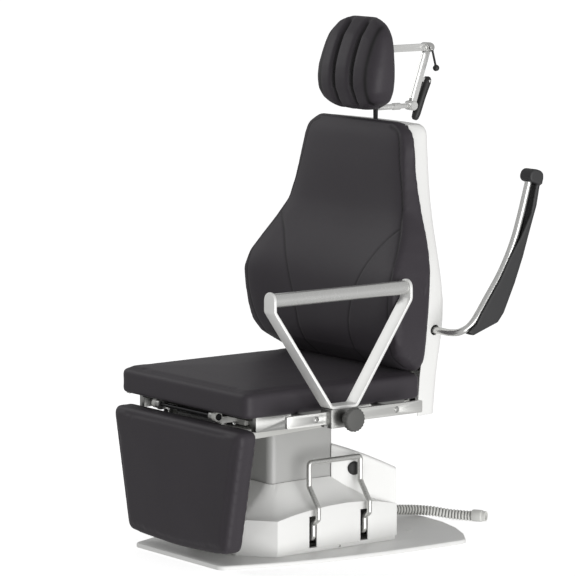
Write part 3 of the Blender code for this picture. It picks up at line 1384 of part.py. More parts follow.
def build_headrest(back, post, link, head, handle, lever):
    guide_top = SHELL_TOP - SHELL_WALL - FIT
    outer = rounded_rectangle(POST_HALF + GUIDE_WALL, POST_GAUGE / 2 + GUIDE_WALL, 0.003, (0.0, POST_Y), 2)
    inner = rounded_rectangle(POST_HALF + FIT, POST_GAUGE / 2 + FIT, 0.001, (0.0, POST_Y), 2)
    solid("headrest_guide", tube_prism(outer, inner, "xy", GUIDE_BOTTOM, guide_top), BLACK_PLASTIC, back)
    bar = rounded_rectangle(POST_HALF, POST_GAUGE / 2, 0.0007, (0.0, POST_Y), 2)
    arm = solid("headrest_post", prism(bar, "xy", POST_BOTTOM, POST_TOP), SATIN_STEEL, post)

    eye_start = LOWER_JOINT_Y - JOINT_RADIUS
    arm_start = POST_Y
    reach = eye_start - arm_start + JOINT_RADIUS * 0.4
    collar = ARM_COLLAR_RADIUS
    profile = [
        (ARM_BAR_RADIUS * 0.8, 0.0),
        (ARM_BAR_RADIUS, reach * 0.08),
        (ARM_BAR_RADIUS, reach * 0.5),
        (collar, reach * 0.52),
        (collar, reach * 0.72),
        (ARM_BAR_RADIUS * 0.9, reach * 0.74),
        (ARM_BAR_RADIUS * 0.8, reach),
    ]
    eye = rod(JOINT_RADIUS, (1, 0, 0), (-EYE_HALF, LOWER_JOINT_Y, LOWER_JOINT_Z), 2 * EYE_HALF, 18)
    combine(arm, "UNION", turned(profile, (0, 1, 0), (0, arm_start, LOWER_JOINT_Z), 16), eye)
    bore = JOINT_PIN + FIT
    length = 4 * (EYE_HALF + LINK_GAUGE)
    start = (-length / 2, LOWER_JOINT_Y, LOWER_JOINT_Z)
    combine(arm, "DIFFERENCE", rod(bore, (1, 0, 0), start, length, 14))

    low = Vector((LOWER_JOINT_Y, LOWER_JOINT_Z))
    high = Vector((UPPER_JOINT_Y, UPPER_JOINT_Z))
    along = (high - low).normalized()
    across = Vector((along.y, -along.x))
    dip = acos(LINK_HALF / JOINT_RADIUS)
    outline = []
    for centre, start in ((high, 0.0), (low, pi)):
        for i in range(LINK_END_SIDES + 1):
            turn = start - dip + (pi + 2 * dip) * i / LINK_END_SIDES
            outline.append(tuple(centre + (across * cos(turn) + along * sin(turn)) * JOINT_RADIUS))
    cheek = EYE_HALF + FIT
    face = cheek + LINK_GAUGE
    lap = cheek + LINK_GAUGE / 2
    wide = across * (LINK_HALF - FIT)
    ends = (low + along * LINK_RELIEF, high - along * LINK_RELIEF)
    web = [tuple(ends[0] - wide), tuple(ends[0] + wide), tuple(ends[1] + wide), tuple(ends[1] - wide)]
    plate = solid("headrest_link", prism(outline, "yz", cheek, face), BRIGHT_STEEL, link)
    middle = (low + high) / 2
    spacer = rod(JOINT_PIN, (1, 0, 0), (-lap, middle.x, middle.y), 2 * lap, 14)
    pivot_at = Vector((HANDLE_PIVOT_Y, HANDLE_PIVOT_Z))
    root = low + along * (pivot_at - low).dot(along)
    back_edge, step = pivot_at + across * LUG_HALF, along * LUG_HALF
    turn = LUG_HALF / 2
    ear = [
        (*(root - step), 0),
        (*(back_edge - step), turn),
        (*(back_edge + step), turn),
        (*(root + step), 0),
    ]
    ear = prism(round_corners(ear, 0.0), "yz", -LUG_GAUGE / 2, LUG_GAUGE / 2)
    combine(
        plate,
        "UNION",
        prism(outline, "yz", -face, -cheek),
        prism(web, "yz", LINK_SLIT, lap),
        prism(web, "yz", -lap, -LINK_SLIT),
        spacer,
        ear,
    )
    upper_bore = rod(bore, (1, 0, 0), (-length / 2, *high), length, 14)
    handle_bore = rod(TRUNNION_RADIUS + FIT, (1, 0, 0), (-length / 2, *pivot_at), length, 12)
    combine(plate, "DIFFERENCE", upper_bore, handle_bore)
    combine(plate, "UNION", joint_pin(face - FIT, low))

    bar_low, bar_high = UPPER_JOINT_Z - HEAD_BAR_HEIGHT / 2, UPPER_JOINT_Z + HEAD_BAR_HEIGHT / 2
    plate_y = HEAD_BACK + FIT
    bar_end = UPPER_JOINT_Y - JOINT_RADIUS / 2
    bar = box((-EYE_HALF, plate_y + HEAD_PLATE / 2, bar_low), (EYE_HALF, bar_end, bar_high))
    bar = solid("headrest_bar", bar, BRIGHT_STEEL, head)
    eye = rod(JOINT_RADIUS, (1, 0, 0), (-EYE_HALF, UPPER_JOINT_Y, UPPER_JOINT_Z), 2 * EYE_HALF, 18)
    plate_middle = (0.0, UPPER_JOINT_Z - HEAD_PLATE_DROP)
    plate = rounded_rectangle(HEAD_PLATE_HALF, HEAD_PLATE_RISE, HEAD_PLATE_DROP, plate_middle, 3)
    plate = prism(plate, "xz", plate_y, plate_y + HEAD_PLATE)
    combine(bar, "UNION", eye, plate)
    start = (-length / 2, UPPER_JOINT_Y, UPPER_JOINT_Z)
    combine(bar, "DIFFERENCE", rod(bore, (1, 0, 0), start, length, 14))
    solid("headrest_pad", head_form(), UPHOLSTERY, head)

    slope = Vector((-sin(HANDLE_LEAN), -cos(HANDLE_LEAN)))
    side_way = Vector((-slope.y, slope.x))
    girth = [(-0.09, 0.55), (-0.05, 0.9), (0.03, 1.05), (0.4, 0.9), (0.85, 0.95), (0.96, 0.8), (1.0, 0.5)]
    rings = []
    for share, radius in girth:
        spot = pivot_at + slope * share * HANDLE_LENGTH
        outline = circle(HANDLE_RADIUS * radius, 14)
        rings.append([Vector((u, *(spot + side_way * v))) for u, v in outline])
    grip = solid("release_handle", loft(rings), BLACK_PLASTIC, handle)
    slot_half = LUG_GAUGE / 2 + 2 * FIT
    combine(grip, "DIFFERENCE", rod(FORK_RADIUS, (1, 0, 0), (-slot_half, *pivot_at), 2 * slot_half, 20))
    pin_half = slot_half + (HANDLE_RADIUS - slot_half) / 2
    combine(grip, "UNION", rod(TRUNNION_RADIUS, (1, 0, 0), (-pin_half, *pivot_at), 2 * pin_half, 12))

    hub = face + FIT + JOINT_CAP_THICK / 2
    knob = solid("clamp_lever", joint_pin(face + FIT, high), BLACK_PLASTIC, lever)
    rim = JOINT_CAP * 0.8
    disc = [(rim, 0.0), (rim, JOINT_CAP_THICK), (rim * 0.7, 1.6 * JOINT_CAP_THICK)]
    combine(knob, "UNION", turned(disc, (1, 0, 0), (hub, *high), 14))
    stem = Vector((LEVER_SPLAY, LEVER_REACH, -LEVER_DROP))
    stem_start = Vector((hub + JOINT_CAP_THICK, *high))
    combine(knob, "UNION", rod(LEVER_RADIUS, stem, stem_start, stem.length, 10))
    ball_rings = [(LEVER_BALL * sin(pi * i / 7), -LEVER_BALL * cos(pi * i / 7)) for i in range(1, 7)]
    combine(knob, "UNION", turned(ball_rings, stem, stem_start + stem, 12))


# Head pad stations: share of its height, then share of its half width or of its depth
HEAD_WIDTHS = [
    (0.0, 0.48),
    (0.037, 0.66),
    (0.087, 0.85),
    (0.188, 0.955),
    (0.372, 1.0),
    (0.623, 0.97),
    (0.807, 0.885),
    (0.90, 0.745),
    (0.966, 0.56),
    (1.0, 0.33),
]
HEAD_DEPTHS = [
    (0.0, 0.62),
    (0.03, 0.77),
    (0.13, 0.95),
    (0.25, 1.0),
    (0.455, 0.92),
    (0.66, 0.70),
    (0.82, 0.49),
    (0.95, 0.27),
    (1.0, 0.12),
]
HEAD_LEVELS = [0.0, 0.03, 0.09, 0.2, 0.33, 0.46, 0.58, 0.7, 0.8, 0.88, 0.94, 0.98, 1.0]


def head_form():
    """Head pad that leans back towards a round top, with two upright flutes down its face."""
    rings = []
    for share in HEAD_LEVELS:
        z = HEAD_BOTTOM + (HEAD_TOP - HEAD_BOTTOM) * share
        half = between(HEAD_WIDTHS, share) * HEAD_HALF
        depth = between(HEAD_DEPTHS, share) * HEAD_DEPTH
        front = HEAD_BACK - depth
        bend = min(HEAD_BEND, depth * 0.45)
        seam = bend * 0.4
        turns = [pi * i / 10 for i in range(5)]
        right = [(half - seam, HEAD_BACK), (half, HEAD_BACK - seam)]
        right += [(half - bend * (1 - cos(a)), front + bend * (1 - sin(a))) for a in turns]
        flute = FLUTE_DEPTH * max(0.0, 1 - (2 * share - 1) ** 4)
        edges = [FLUTE_X + FLUTE_WIDTH, FLUTE_X, FLUTE_X - FLUTE_WIDTH]
        flat = half - bend
        lanes = [flat, *[min(edge, flat * 0.9) for edge in edges], 0.0]
        lanes += [-x for x in reversed(lanes[:-1])]
        face = [(x, front + (flute if i in (2, 6) else 0.0)) for i, x in enumerate(lanes)]
        rings.append(lay([*right, *face, *[(-x, y) for x, y in reversed(right)]], "xy", z))
    return loft(rings)


# Hose


def hose_route():
    """The route's own marks, from the gland at the back of the base to the cuff on the floor."""
    start = BASE_REAR + GLAND_LENGTH + 2 * FIT
    return [
        (HOSE_X, start, HOSE_Z),
        (HOSE_X, start + 2 * HOSE_RADIUS, HOSE_Z),
        (HOSE_X, 0.375, 0.0425),
        (HOSE_X + 0.002, 0.435, 0.0355),
        (HOSE_X + 0.010, 0.490, 0.0300),
        (-0.003, 0.535, 0.0240),
        (0.028, 0.573, 0.0165),
        (0.062, 0.598, 0.0147),
        (0.080, 0.6085, 0.0147),
    ]


def build_hose(black):
    root = (HOSE_X, BASE_REAR + FIT, HOSE_Z)
    gland = [
        (GLAND_RADIUS, 0.0),
        (GLAND_RADIUS, GLAND_LENGTH * 0.2),
        (GLAND_RADIUS * 0.9, GLAND_LENGTH * 0.25),
        (HOSE_RADIUS * 1.08, GLAND_LENGTH),
        (HOSE_BORE, GLAND_LENGTH),
        (HOSE_BORE, 0.0),
    ]
    solid("hose_gland", turned(gland, (0, 1, 0), root, 20, hollow=True), black)
    route = smooth_path(hose_route(), HOSE_PITCH / 2)
    radii = [HOSE_RADIUS if i % 2 else HOSE_VALLEY for i in range(len(route))]
    skin = swept(route, [circle(radius, 8) for radius in radii], (1, 0, 0))
    core = swept(route, circle(HOSE_BORE, 8), (1, 0, 0))
    sparse = [core[0], *core[3:-3:4], core[-1]]
    solid("ribbed_hose", loft([*skin, *reversed(sparse)], looped=True), HOSE_PLASTIC)
    length = sum((b - a).length for a, b in zip(route, route[1:]))
    print(f"hose length {length:.3f} m, {len(route) // 2} ribs")
    along = (route[-1] - route[-2]).normalized()
    cuff = [
        (CUFF_RADIUS * 0.92, 0.0),
        (CUFF_RADIUS, CUFF_LENGTH * 0.1),
        (CUFF_RADIUS, CUFF_LENGTH * 0.7),
        (CUFF_RADIUS * 0.85, CUFF_LENGTH * 0.75),
        (CUFF_RADIUS * 0.85, CUFF_LENGTH),
        (HOSE_BORE, CUFF_LENGTH),
        (HOSE_BORE, 0.0),
    ]
    level = Vector((along.x, along.y, 0.0)).normalized()
    start = route[-1] + along * FIT
    start.z = CUFF_RADIUS + FIT
    solid("hose_cuff", turned(cuff, level, start, 20, hollow=True), black)


# The chair, from the floor up

lift_joint = pivot("seat_lift", (0, 0, COLUMN_TOP))
middle_joint = pivot("column_slide", (0, 0, MIDDLE_BOTTOM), lift_joint)
swivel_joint = pivot("seat_swivel", (0, 0, RACE_HIGH_Z), lift_joint)
leg_joint = pivot("leg_rest_hinge", (0, LEG_PIVOT_Y, LEG_PIVOT_Z), swivel_joint)
back_joint = pivot("backrest_hinge", (0, BACK_PIVOT_Y, BACK_PIVOT_Z), swivel_joint)
clamp_joint = pivot("clamp_slide", (BAR_INNER, (CLAMP_FRONT + CLAMP_REAR) / 2, BAR_MIDDLE_Z), swivel_joint)
knob_joint = pivot("knob_turn", (BAR_INNER, (CLAMP_FRONT + CLAMP_REAR) / 2, BAR_MIDDLE_Z), clamp_joint)
post_joint = pivot("headrest_height", (0, POST_Y, POST_BOTTOM), back_joint)
link_joint = pivot("headrest_lower_hinge", (0, LOWER_JOINT_Y, LOWER_JOINT_Z), post_joint)
head_joint = pivot("headrest_upper_hinge", (0, UPPER_JOINT_Y, UPPER_JOINT_Z), link_joint)
handle_joint = pivot("handle_hinge", (0, HANDLE_PIVOT_Y, HANDLE_PIVOT_Z), link_joint)
lever_joint = pivot("lever_turn", (0, UPPER_JOINT_Y, UPPER_JOINT_Z), link_joint)

build_base(BLACK_PLASTIC, WHITE_MOULDING)
build_column(lift_joint, middle_joint)
seat_frame = build_seat(lift_joint, swivel_joint)
build_leg_rest(swivel_joint, leg_joint)
build_backrest(swivel_joint, back_joint)
build_loop_armrest(clamp_joint, knob_joint)
build_headrest(back_joint, post_joint, link_joint, head_joint, handle_joint, lever_joint)
build_hose(BLACK_PLASTIC)
for way, label in ((1, "left"), (-1, "right")):
    rail_joint = pivot(f"foot_rail_{label}_hinge", (way * RAIL_PIVOT_X, 0, RAIL_PIVOT_Z))
    build_foot_rail(way, label, rail_joint)
    build_side_rail(way, label, swivel_joint, seat_frame)
    arm_joint = pivot(f"armrest_{label}_hinge", (way * BLOCK_INNER, ARM_PIVOT_Y, ARM_PIVOT_Z), back_joint)
    build_swing_armrest(way, label, back_joint, arm_joint)
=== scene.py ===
import json
from math import ceil, cos, pi, radians, sin, tan

import bmesh
import bpy
import numpy as np
from mathutils import Matrix, Vector

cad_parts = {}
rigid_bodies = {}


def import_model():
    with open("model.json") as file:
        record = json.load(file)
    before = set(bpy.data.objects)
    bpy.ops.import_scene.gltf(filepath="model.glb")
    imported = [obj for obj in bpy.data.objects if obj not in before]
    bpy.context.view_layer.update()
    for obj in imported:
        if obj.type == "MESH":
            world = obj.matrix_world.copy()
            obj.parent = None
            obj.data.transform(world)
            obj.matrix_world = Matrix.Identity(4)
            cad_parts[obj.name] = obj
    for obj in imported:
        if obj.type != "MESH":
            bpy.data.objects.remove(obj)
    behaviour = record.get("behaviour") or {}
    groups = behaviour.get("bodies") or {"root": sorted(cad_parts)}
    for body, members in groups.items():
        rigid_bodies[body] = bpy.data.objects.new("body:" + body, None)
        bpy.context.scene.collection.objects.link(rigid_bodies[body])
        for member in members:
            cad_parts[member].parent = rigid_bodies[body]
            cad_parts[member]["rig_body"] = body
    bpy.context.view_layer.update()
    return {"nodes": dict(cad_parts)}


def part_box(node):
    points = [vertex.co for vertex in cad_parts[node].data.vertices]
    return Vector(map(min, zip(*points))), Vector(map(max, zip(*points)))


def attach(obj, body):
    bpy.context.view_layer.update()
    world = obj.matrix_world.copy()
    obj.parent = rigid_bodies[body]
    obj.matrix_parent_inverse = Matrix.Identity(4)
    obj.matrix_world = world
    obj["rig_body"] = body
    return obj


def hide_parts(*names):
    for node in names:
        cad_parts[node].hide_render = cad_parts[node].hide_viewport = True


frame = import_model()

bpy.ops.object.select_all(action="DESELECT")


# Studio: a white paper floor and backdrop that throw no light back on the chair, an even dim surround, one
# broad soft lamp low on the patient's left, a softbox high on the right, and a long-lens camera.


def linear(code):
    """An sRGB hex colour as linear red, green and blue with full alpha."""
    shares = [int(code[i : i + 2], 16) / 255 for i in (1, 3, 5)]
    return [*[s / 12.92 if s <= 0.04045 else ((s + 0.055) / 1.055) ** 2.4 for s in shares], 1.0]


def blank_finish(name):
    """An empty material for one of the chair's finishes."""
    finish = bpy.data.materials.new(name)
    finish.use_nodes = True
    finish.node_tree.nodes.clear()
    return finish


def wire(finish, kind, sockets, **settings):
    """Adds one node to a finish: its settings, and its sockets as values or as other nodes' outputs."""
    made = finish.node_tree.nodes.new(kind)
    for name, value in settings.items():
        setattr(made, name, value)
    for name, value in sockets.items():
        if isinstance(value, bpy.types.NodeSocket):
            finish.node_tree.links.new(value, made.inputs[name])
        else:
            made.inputs[name].default_value = value
    return made


def mixed(finish, share, first, second):
    """A colour of a finish that goes from the first to the second as the share grows."""
    return wire(finish, "ShaderNodeMix", {0: share, 6: first, 7: second}, data_type="RGBA").outputs[2]


FLOOR_SIZE = 60.0
bpy.ops.mesh.primitive_plane_add(size=FLOOR_SIZE)
floor = bpy.context.object
floor.name = "studio_floor"
# Matt white paper roll, lit from below so that it stays white: no gloss and only a faint change of tone
paper = blank_finish("white_paper_roll")
PAPER_PATCH, PAPER_GLOW = 0.8, 0.62
spot = wire(paper, "ShaderNodeTexCoord", {}).outputs["Object"]
cloud = wire(paper, "ShaderNodeTexNoise", {"Vector": spot, "Scale": 1 / PAPER_PATCH}).outputs["Fac"]
tone = mixed(paper, cloud, linear("#F1F1F1"), linear("#F4F4F4"))
matt = {"Base Color": tone, "Roughness": 0.95, "Emission Strength": PAPER_GLOW}
matt = wire(paper, "ShaderNodeBsdfPrincipled", matt)
wire(paper, "ShaderNodeOutputMaterial", {"Surface": matt.outputs[0]})
floor.data.materials.append(paper)

BACKDROP_RADIUS = 29.0
bpy.ops.object.select_all(action="DESELECT")
bpy.ops.mesh.primitive_uv_sphere_add(radius=BACKDROP_RADIUS)
backdrop = bpy.context.object
backdrop.name = "studio_backdrop"
# White cloth lit evenly from behind
backlit = blank_finish("backlit_white_cloth")
glow = wire(backlit, "ShaderNodeEmission", {"Color": linear("#FFFFFF"), "Strength": 1.0})
wire(backlit, "ShaderNodeOutputMaterial", {"Surface": glow.outputs[0]})
backdrop.data.materials.append(backlit)
for sheet in (floor, backdrop):
    sheet.visible_diffuse = False
    sheet.visible_glossy = False
    sheet.visible_shadow = False

SURROUND = 0.47
surround = bpy.data.worlds.new("white_surround")
surround.use_nodes = True
surround.node_tree.nodes["Background"].inputs["Color"].default_value = (1.0, 1.0, 1.0, 1.0)
surround.node_tree.nodes["Background"].inputs["Strength"].default_value = SURROUND
bpy.context.scene.world = surround
bpy.context.scene.view_settings.view_transform = "Standard"

LAMP_FROM = Vector((1.0, -0.06, -0.17))
LAMP_POWER = 2.05
LAMP_SPREAD = radians(50)
lamp = bpy.data.lights.new("broad_soft_lamp", "SUN")
lamp.energy = LAMP_POWER
lamp.angle = LAMP_SPREAD
lamp_stand = bpy.data.objects.new("broad_soft_lamp", lamp)
lamp_stand.rotation_euler = LAMP_FROM.to_track_quat("Z", "Y").to_euler()
bpy.context.scene.collection.objects.link(lamp_stand)

BOX_SIZE, BOX_POWER = 1.5, 13.0
BOX_PLACE, BOX_TARGET = Vector((-2.2, -1.2, 2.05)), Vector((0.3475, 0.06, 0.55))
softbox = bpy.data.lights.new("front_softbox", "AREA")
softbox.size = BOX_SIZE
softbox.energy = BOX_POWER
softbox_stand = bpy.data.objects.new("front_softbox", softbox)
softbox_stand.location = BOX_PLACE
softbox_stand.rotation_euler = (BOX_PLACE - BOX_TARGET).to_track_quat("Z", "Y").to_euler()
bpy.context.scene.collection.objects.link(softbox_stand)

AIM = Vector((0.0, -0.02, 0.6875))
AZIMUTH, ELEVATION, DISTANCE = radians(53.1332), radians(7.6905), 9.681
FRAME_PIXELS = 576
FOCAL_PIXELS = 3732.19
CENTRE_PIXEL = (268.33, 284.607)
SENSOR = 36.0
lens = bpy.data.cameras.new("studio_camera")
lens.sensor_width = SENSOR
lens.lens = FOCAL_PIXELS / FRAME_PIXELS * SENSOR
lens.shift_x = 0.5 - CENTRE_PIXEL[0] / FRAME_PIXELS
lens.shift_y = CENTRE_PIXEL[1] / FRAME_PIXELS - 0.5
lens.clip_end = 100.0
tripod = bpy.data.objects.new("studio_camera", lens)
toward = Vector((sin(AZIMUTH) * cos(ELEVATION), -cos(AZIMUTH) * cos(ELEVATION), sin(ELEVATION)))
tripod.location = AIM + toward * DISTANCE
tripod.rotation_euler = toward.to_track_quat("Z", "Y").to_euler()
bpy.context.scene.collection.objects.link(tripod)
bpy.context.scene.camera = tripod


# Floor plate: a steel plate, laser cut with a flared rear, its upper edge eased and the whole lacquered
# white. Two flush caps in its rear hide the bolts to the floor.

MERGE = 0.00002


def alone(piece):
    """Selects one object and nothing else, and makes it the active one."""
    bpy.ops.object.select_all(action="DESELECT")
    piece.select_set(True)
    bpy.context.view_layer.objects.active = piece


def merged_copy(node, ending):
    """A copy of a CAD node's solid as one joined skin."""
    source = frame["nodes"][node]
    piece = bpy.data.objects.new(node + ending, source.data.copy())
    bpy.context.scene.collection.objects.link(piece)
    alone(piece)
    bpy.ops.mesh.customdata_custom_splitnormals_clear()
    bpy.ops.object.mode_set(mode="EDIT")
    bpy.ops.mesh.select_all(action="SELECT")
    bpy.ops.mesh.remove_doubles(threshold=MERGE)
    bpy.ops.object.mode_set(mode="OBJECT")
    return piece


def stand_in(piece, node, finish):
    """Gives a finished piece its material and puts it in the place of a CAD node, on the node's body."""
    piece.data.materials.clear()
    piece.data.materials.append(finish)
    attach(piece, frame["nodes"][node]["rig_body"])
    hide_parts(node)
    return piece


def eased(node, finish, edge, steps=2, crease=32):
    """The CAD node's own form with its sharp edges rounded over."""
    piece = merged_copy(node, "_finished")
    bpy.ops.object.mode_set(mode="EDIT")
    bpy.ops.mesh.select_all(action="SELECT")
    bpy.ops.mesh.dissolve_limited(angle_limit=radians(0.5))
    bpy.ops.object.mode_set(mode="OBJECT")
    rim = piece.modifiers.new("rim", "BEVEL")
    rim.width = edge
    rim.segments = steps
    rim.limit_method = "ANGLE"
    rim.angle_limit = radians(crease)
    bpy.ops.object.modifier_apply(modifier="rim")
    bpy.ops.object.shade_smooth_by_angle(angle=radians(crease))
    return stand_in(piece, node, finish)


RUB_FROM, RUB_TO, RUB_SHARE = 0.52, 0.62, 0.6
GRAIN_STRENGTH = 0.35


def coated(name, colours, patch, grain, roughness, relief, ior=1.5, metallic=0.0, worn=None):
    """A finish with a slow drift between two colours over patches, a fine grain in gloss and relief,
    and, where it is handled, edges rubbed to another colour. Patch, grain and relief are in mm."""
    finish = blank_finish(name)
    spot = wire(finish, "ShaderNodeTexCoord", {}).outputs["Object"]
    drift = wire(finish, "ShaderNodeTexNoise", {"Vector": spot, "Scale": 1000 / patch, "Detail": 3.0})
    fine = wire(finish, "ShaderNodeTexNoise", {"Vector": spot, "Scale": 1000 / grain, "Detail": 2.0})
    colour = mixed(finish, drift.outputs["Fac"], *map(linear, colours))
    if worn:
        edge = wire(finish, "ShaderNodeNewGeometry", {}).outputs["Pointiness"]
        rub = {"Value": edge, "From Min": RUB_FROM, "From Max": RUB_TO, "To Max": RUB_SHARE}
        rub = wire(finish, "ShaderNodeMapRange", rub).outputs[0]
        colour = mixed(finish, rub, colour, linear(worn))
    gloss = {"Value": fine.outputs["Fac"], "To Min": roughness[0], "To Max": roughness[1]}
    gloss = wire(finish, "ShaderNodeMapRange", gloss).outputs[0]
    skin = {"Height": fine.outputs["Fac"], "Strength": GRAIN_STRENGTH, "Distance": relief / 1000}
    skin = wire(finish, "ShaderNodeBump", skin).outputs[0]
    body = {"Base Color": colour, "Roughness": gloss, "Normal": skin, "IOR": ior, "Metallic": metallic}
    body = wire(finish, "ShaderNodeBsdfPrincipled", body)
    wire(finish, "ShaderNodeOutputMaterial", {"Surface": body.outputs[0]})
    return finish


# Baked white lacquer on steel: a smooth half gloss with the faint orange peel of sprayed paint
white_lacquer = coated(
    "baked_white_lacquer",
    ("#E6E6E4", "#EBEBE9"),
    patch=90,
    grain=2.6,
    roughness=(0.30, 0.40),
    relief=0.05,
    worn="#F2F2F0",
)
eased("floor_plate", white_lacquer, edge=0.0012)

CAP_PLACES = ((0.1156, 0.36), (-0.1156, 0.36))
CAP_RADIUS, CAP_RISE, CAP_SIDES, CAP_DOME = 0.0085, 0.0016, 40, 0.6
# Small parts stand a hair's breadth off what carries them, so that no two faces share a plane
HAIR = 0.0001
plate_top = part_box("floor_plate")[1][2]
for number, (x, y) in enumerate(CAP_PLACES, 1):
    bpy.ops.object.select_all(action="DESELECT")
    bpy.ops.mesh.primitive_cylinder_add(vertices=CAP_SIDES, radius=CAP_RADIUS, depth=CAP_RISE)
    bolt_cap = bpy.context.object
    bolt_cap.name = f"plate_bolt_cap_{number}"
    dome = bolt_cap.modifiers.new("dome", "BEVEL")
    dome.width = CAP_RISE * CAP_DOME
    dome.segments = 3
    dome.limit_method = "ANGLE"
    bpy.ops.object.modifier_apply(modifier="dome")
    bolt_cap.data.transform(Matrix.Translation((x, y, plate_top + CAP_RISE / 2 + HAIR)))
    bpy.ops.object.shade_smooth_by_angle(angle=radians(40))
    bolt_cap.data.materials.append(white_lacquer)
    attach(bolt_cap, "base")


# Base: a plinth frame and the tall moulded cover on it, which slopes up in a hollow shoulder to the column
# and rises behind it in a hump. White ABS, vacuum formed over a mould and held by screws in the plinth.

# Formed white ABS: satin, with the fine grain of its mould and the faintest drift in tone
ABS_GRAIN = {"patch": 140, "grain": 3.0, "roughness": (0.27, 0.36), "relief": 0.04, "ior": 1.54}
white_abs = coated("formed_white_abs", ("#EAEAE8", "#EFEFED"), **ABS_GRAIN)
eased("plinth_frame", white_abs, edge=0.0008)
eased("base_cover", white_abs, edge=0.004, steps=3)

# Black nylon: matt, with a spark-eroded grain drawn coarser than it is so that it shows
black_nylon = coated(
    "moulded_black_nylon",
    ("#161616", "#1D1D1D"),
    patch=40,
    grain=1.6,
    roughness=(0.42, 0.55),
    relief=0.06,
    worn="#2E2E2E",
)
eased("side_port_grommet", black_nylon, edge=0.0012)

SIDES = ((1, "left"), (-1, "right"))
SCREW_RADIUS, SCREW_RISE, SCREW_SIDES = 0.0062, 0.0024, 36
# Shares of a screw head's rise and radius: its rounded rim, and the six-sided cutter for its socket
SCREW_RIM, KEY_SIZE, KEY_LENGTH, KEY_MIDDLE = 0.55, 0.55, 1.2, 1.05


def turned_screw(radius, rise):
    """A button head screw with a six-sided socket, standing up on the origin."""
    bpy.ops.object.select_all(action="DESELECT")
    bpy.ops.mesh.primitive_cylinder_add(
        vertices=SCREW_SIDES, radius=radius, depth=rise, location=(0, 0, rise / 2)
    )
    head = bpy.context.object
    round_over = head.modifiers.new("round_over", "BEVEL")
    round_over.width = rise * SCREW_RIM
    round_over.segments = 4
    round_over.limit_method = "ANGLE"
    bpy.ops.object.modifier_apply(modifier="round_over")
    bpy.ops.mesh.primitive_cylinder_add(
        vertices=6, radius=radius * KEY_SIZE, depth=rise * KEY_LENGTH, location=(0, 0, rise * KEY_MIDDLE)
    )
    key = bpy.context.object
    alone(head)
    socket = head.modifiers.new("socket", "BOOLEAN")
    socket.operation = "DIFFERENCE"
    socket.object = key
    bpy.ops.object.modifier_apply(modifier="socket")
    bpy.data.objects.remove(key)
    alone(head)
    bpy.ops.object.transform_apply(location=True, rotation=True, scale=True)
    bpy.ops.object.shade_smooth_by_angle(angle=radians(35))
    return head


# Bright steel: ground and polished, with fine scratches in its gloss
bright_steel = coated(
    "polished_steel",
    ("#D2D2D0", "#DADAD8"),
    patch=60,
    grain=1.8,
    roughness=(0.16, 0.26),
    relief=0.01,
    metallic=1.0,
)
screw = turned_screw(SCREW_RADIUS, SCREW_RISE)
screw.data.materials.append(bright_steel)


def set_screw(name, place, way, scale, body):
    """A copy of the button head screw, set on a face that looks along the given way."""
    copy = bpy.data.objects.new(name, screw.data.copy())
    bpy.context.scene.collection.objects.link(copy)
    turn = Vector(way).to_track_quat("Z", "Y").to_matrix().to_4x4()
    copy.data.transform(Matrix.Translation(place) @ turn @ Matrix.Scale(scale, 4))
    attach(copy, body)


for side, label in SIDES:
    set_screw(f"plinth_screw_{label}", (side * 0.1915, 0.0673, 0.0182), (side, 0, 0), 0.55, "base")


# Hose: a ribbed plastic hose for the chair's cables, pushed into a gland on the base's back and lying loose
# over the plate's edge to the floor, where it ends in a plain cuff.

HOSE_MARKS = [
    (-0.030, 0.2832, 0.046),
    (-0.030, 0.3112, 0.046),
    (-0.030, 0.375, 0.0425),
    (-0.028, 0.435, 0.0355),
    (-0.020, 0.490, 0.0300),
    (-0.003, 0.535, 0.0240),
    (0.028, 0.573, 0.0165),
    (0.062, 0.598, 0.0147),
    (0.080, 0.6085, 0.0147),
]
HOSE_RADIUS, HOSE_VALLEY, HOSE_PITCH = 0.014, 0.0107, 0.0092
RINGS_A_RIB, HOSE_SIDES, RIB_SHARPNESS = 8, 28, 1.1


def smooth_line(marks, step):
    """Points about a step apart on a smooth curve through the marks."""
    marks = [Vector(mark) for mark in marks]
    ends = [marks[0] * 2 - marks[1], *marks, marks[-1] * 2 - marks[-2]]
    points = [marks[0]]
    for a, b, c, d in zip(ends, ends[1:], ends[2:], ends[3:]):
        count = max(1, ceil((c - b).length / step))
        for i in range(1, count + 1):
            t = i / count
            bow = (a * 2 - b * 5 + c * 4 - d) * t**2 + (b * 3 - a - c * 3 + d) * t**3
            points.append((b * 2 + (c - a) * t + bow) / 2)
    return points


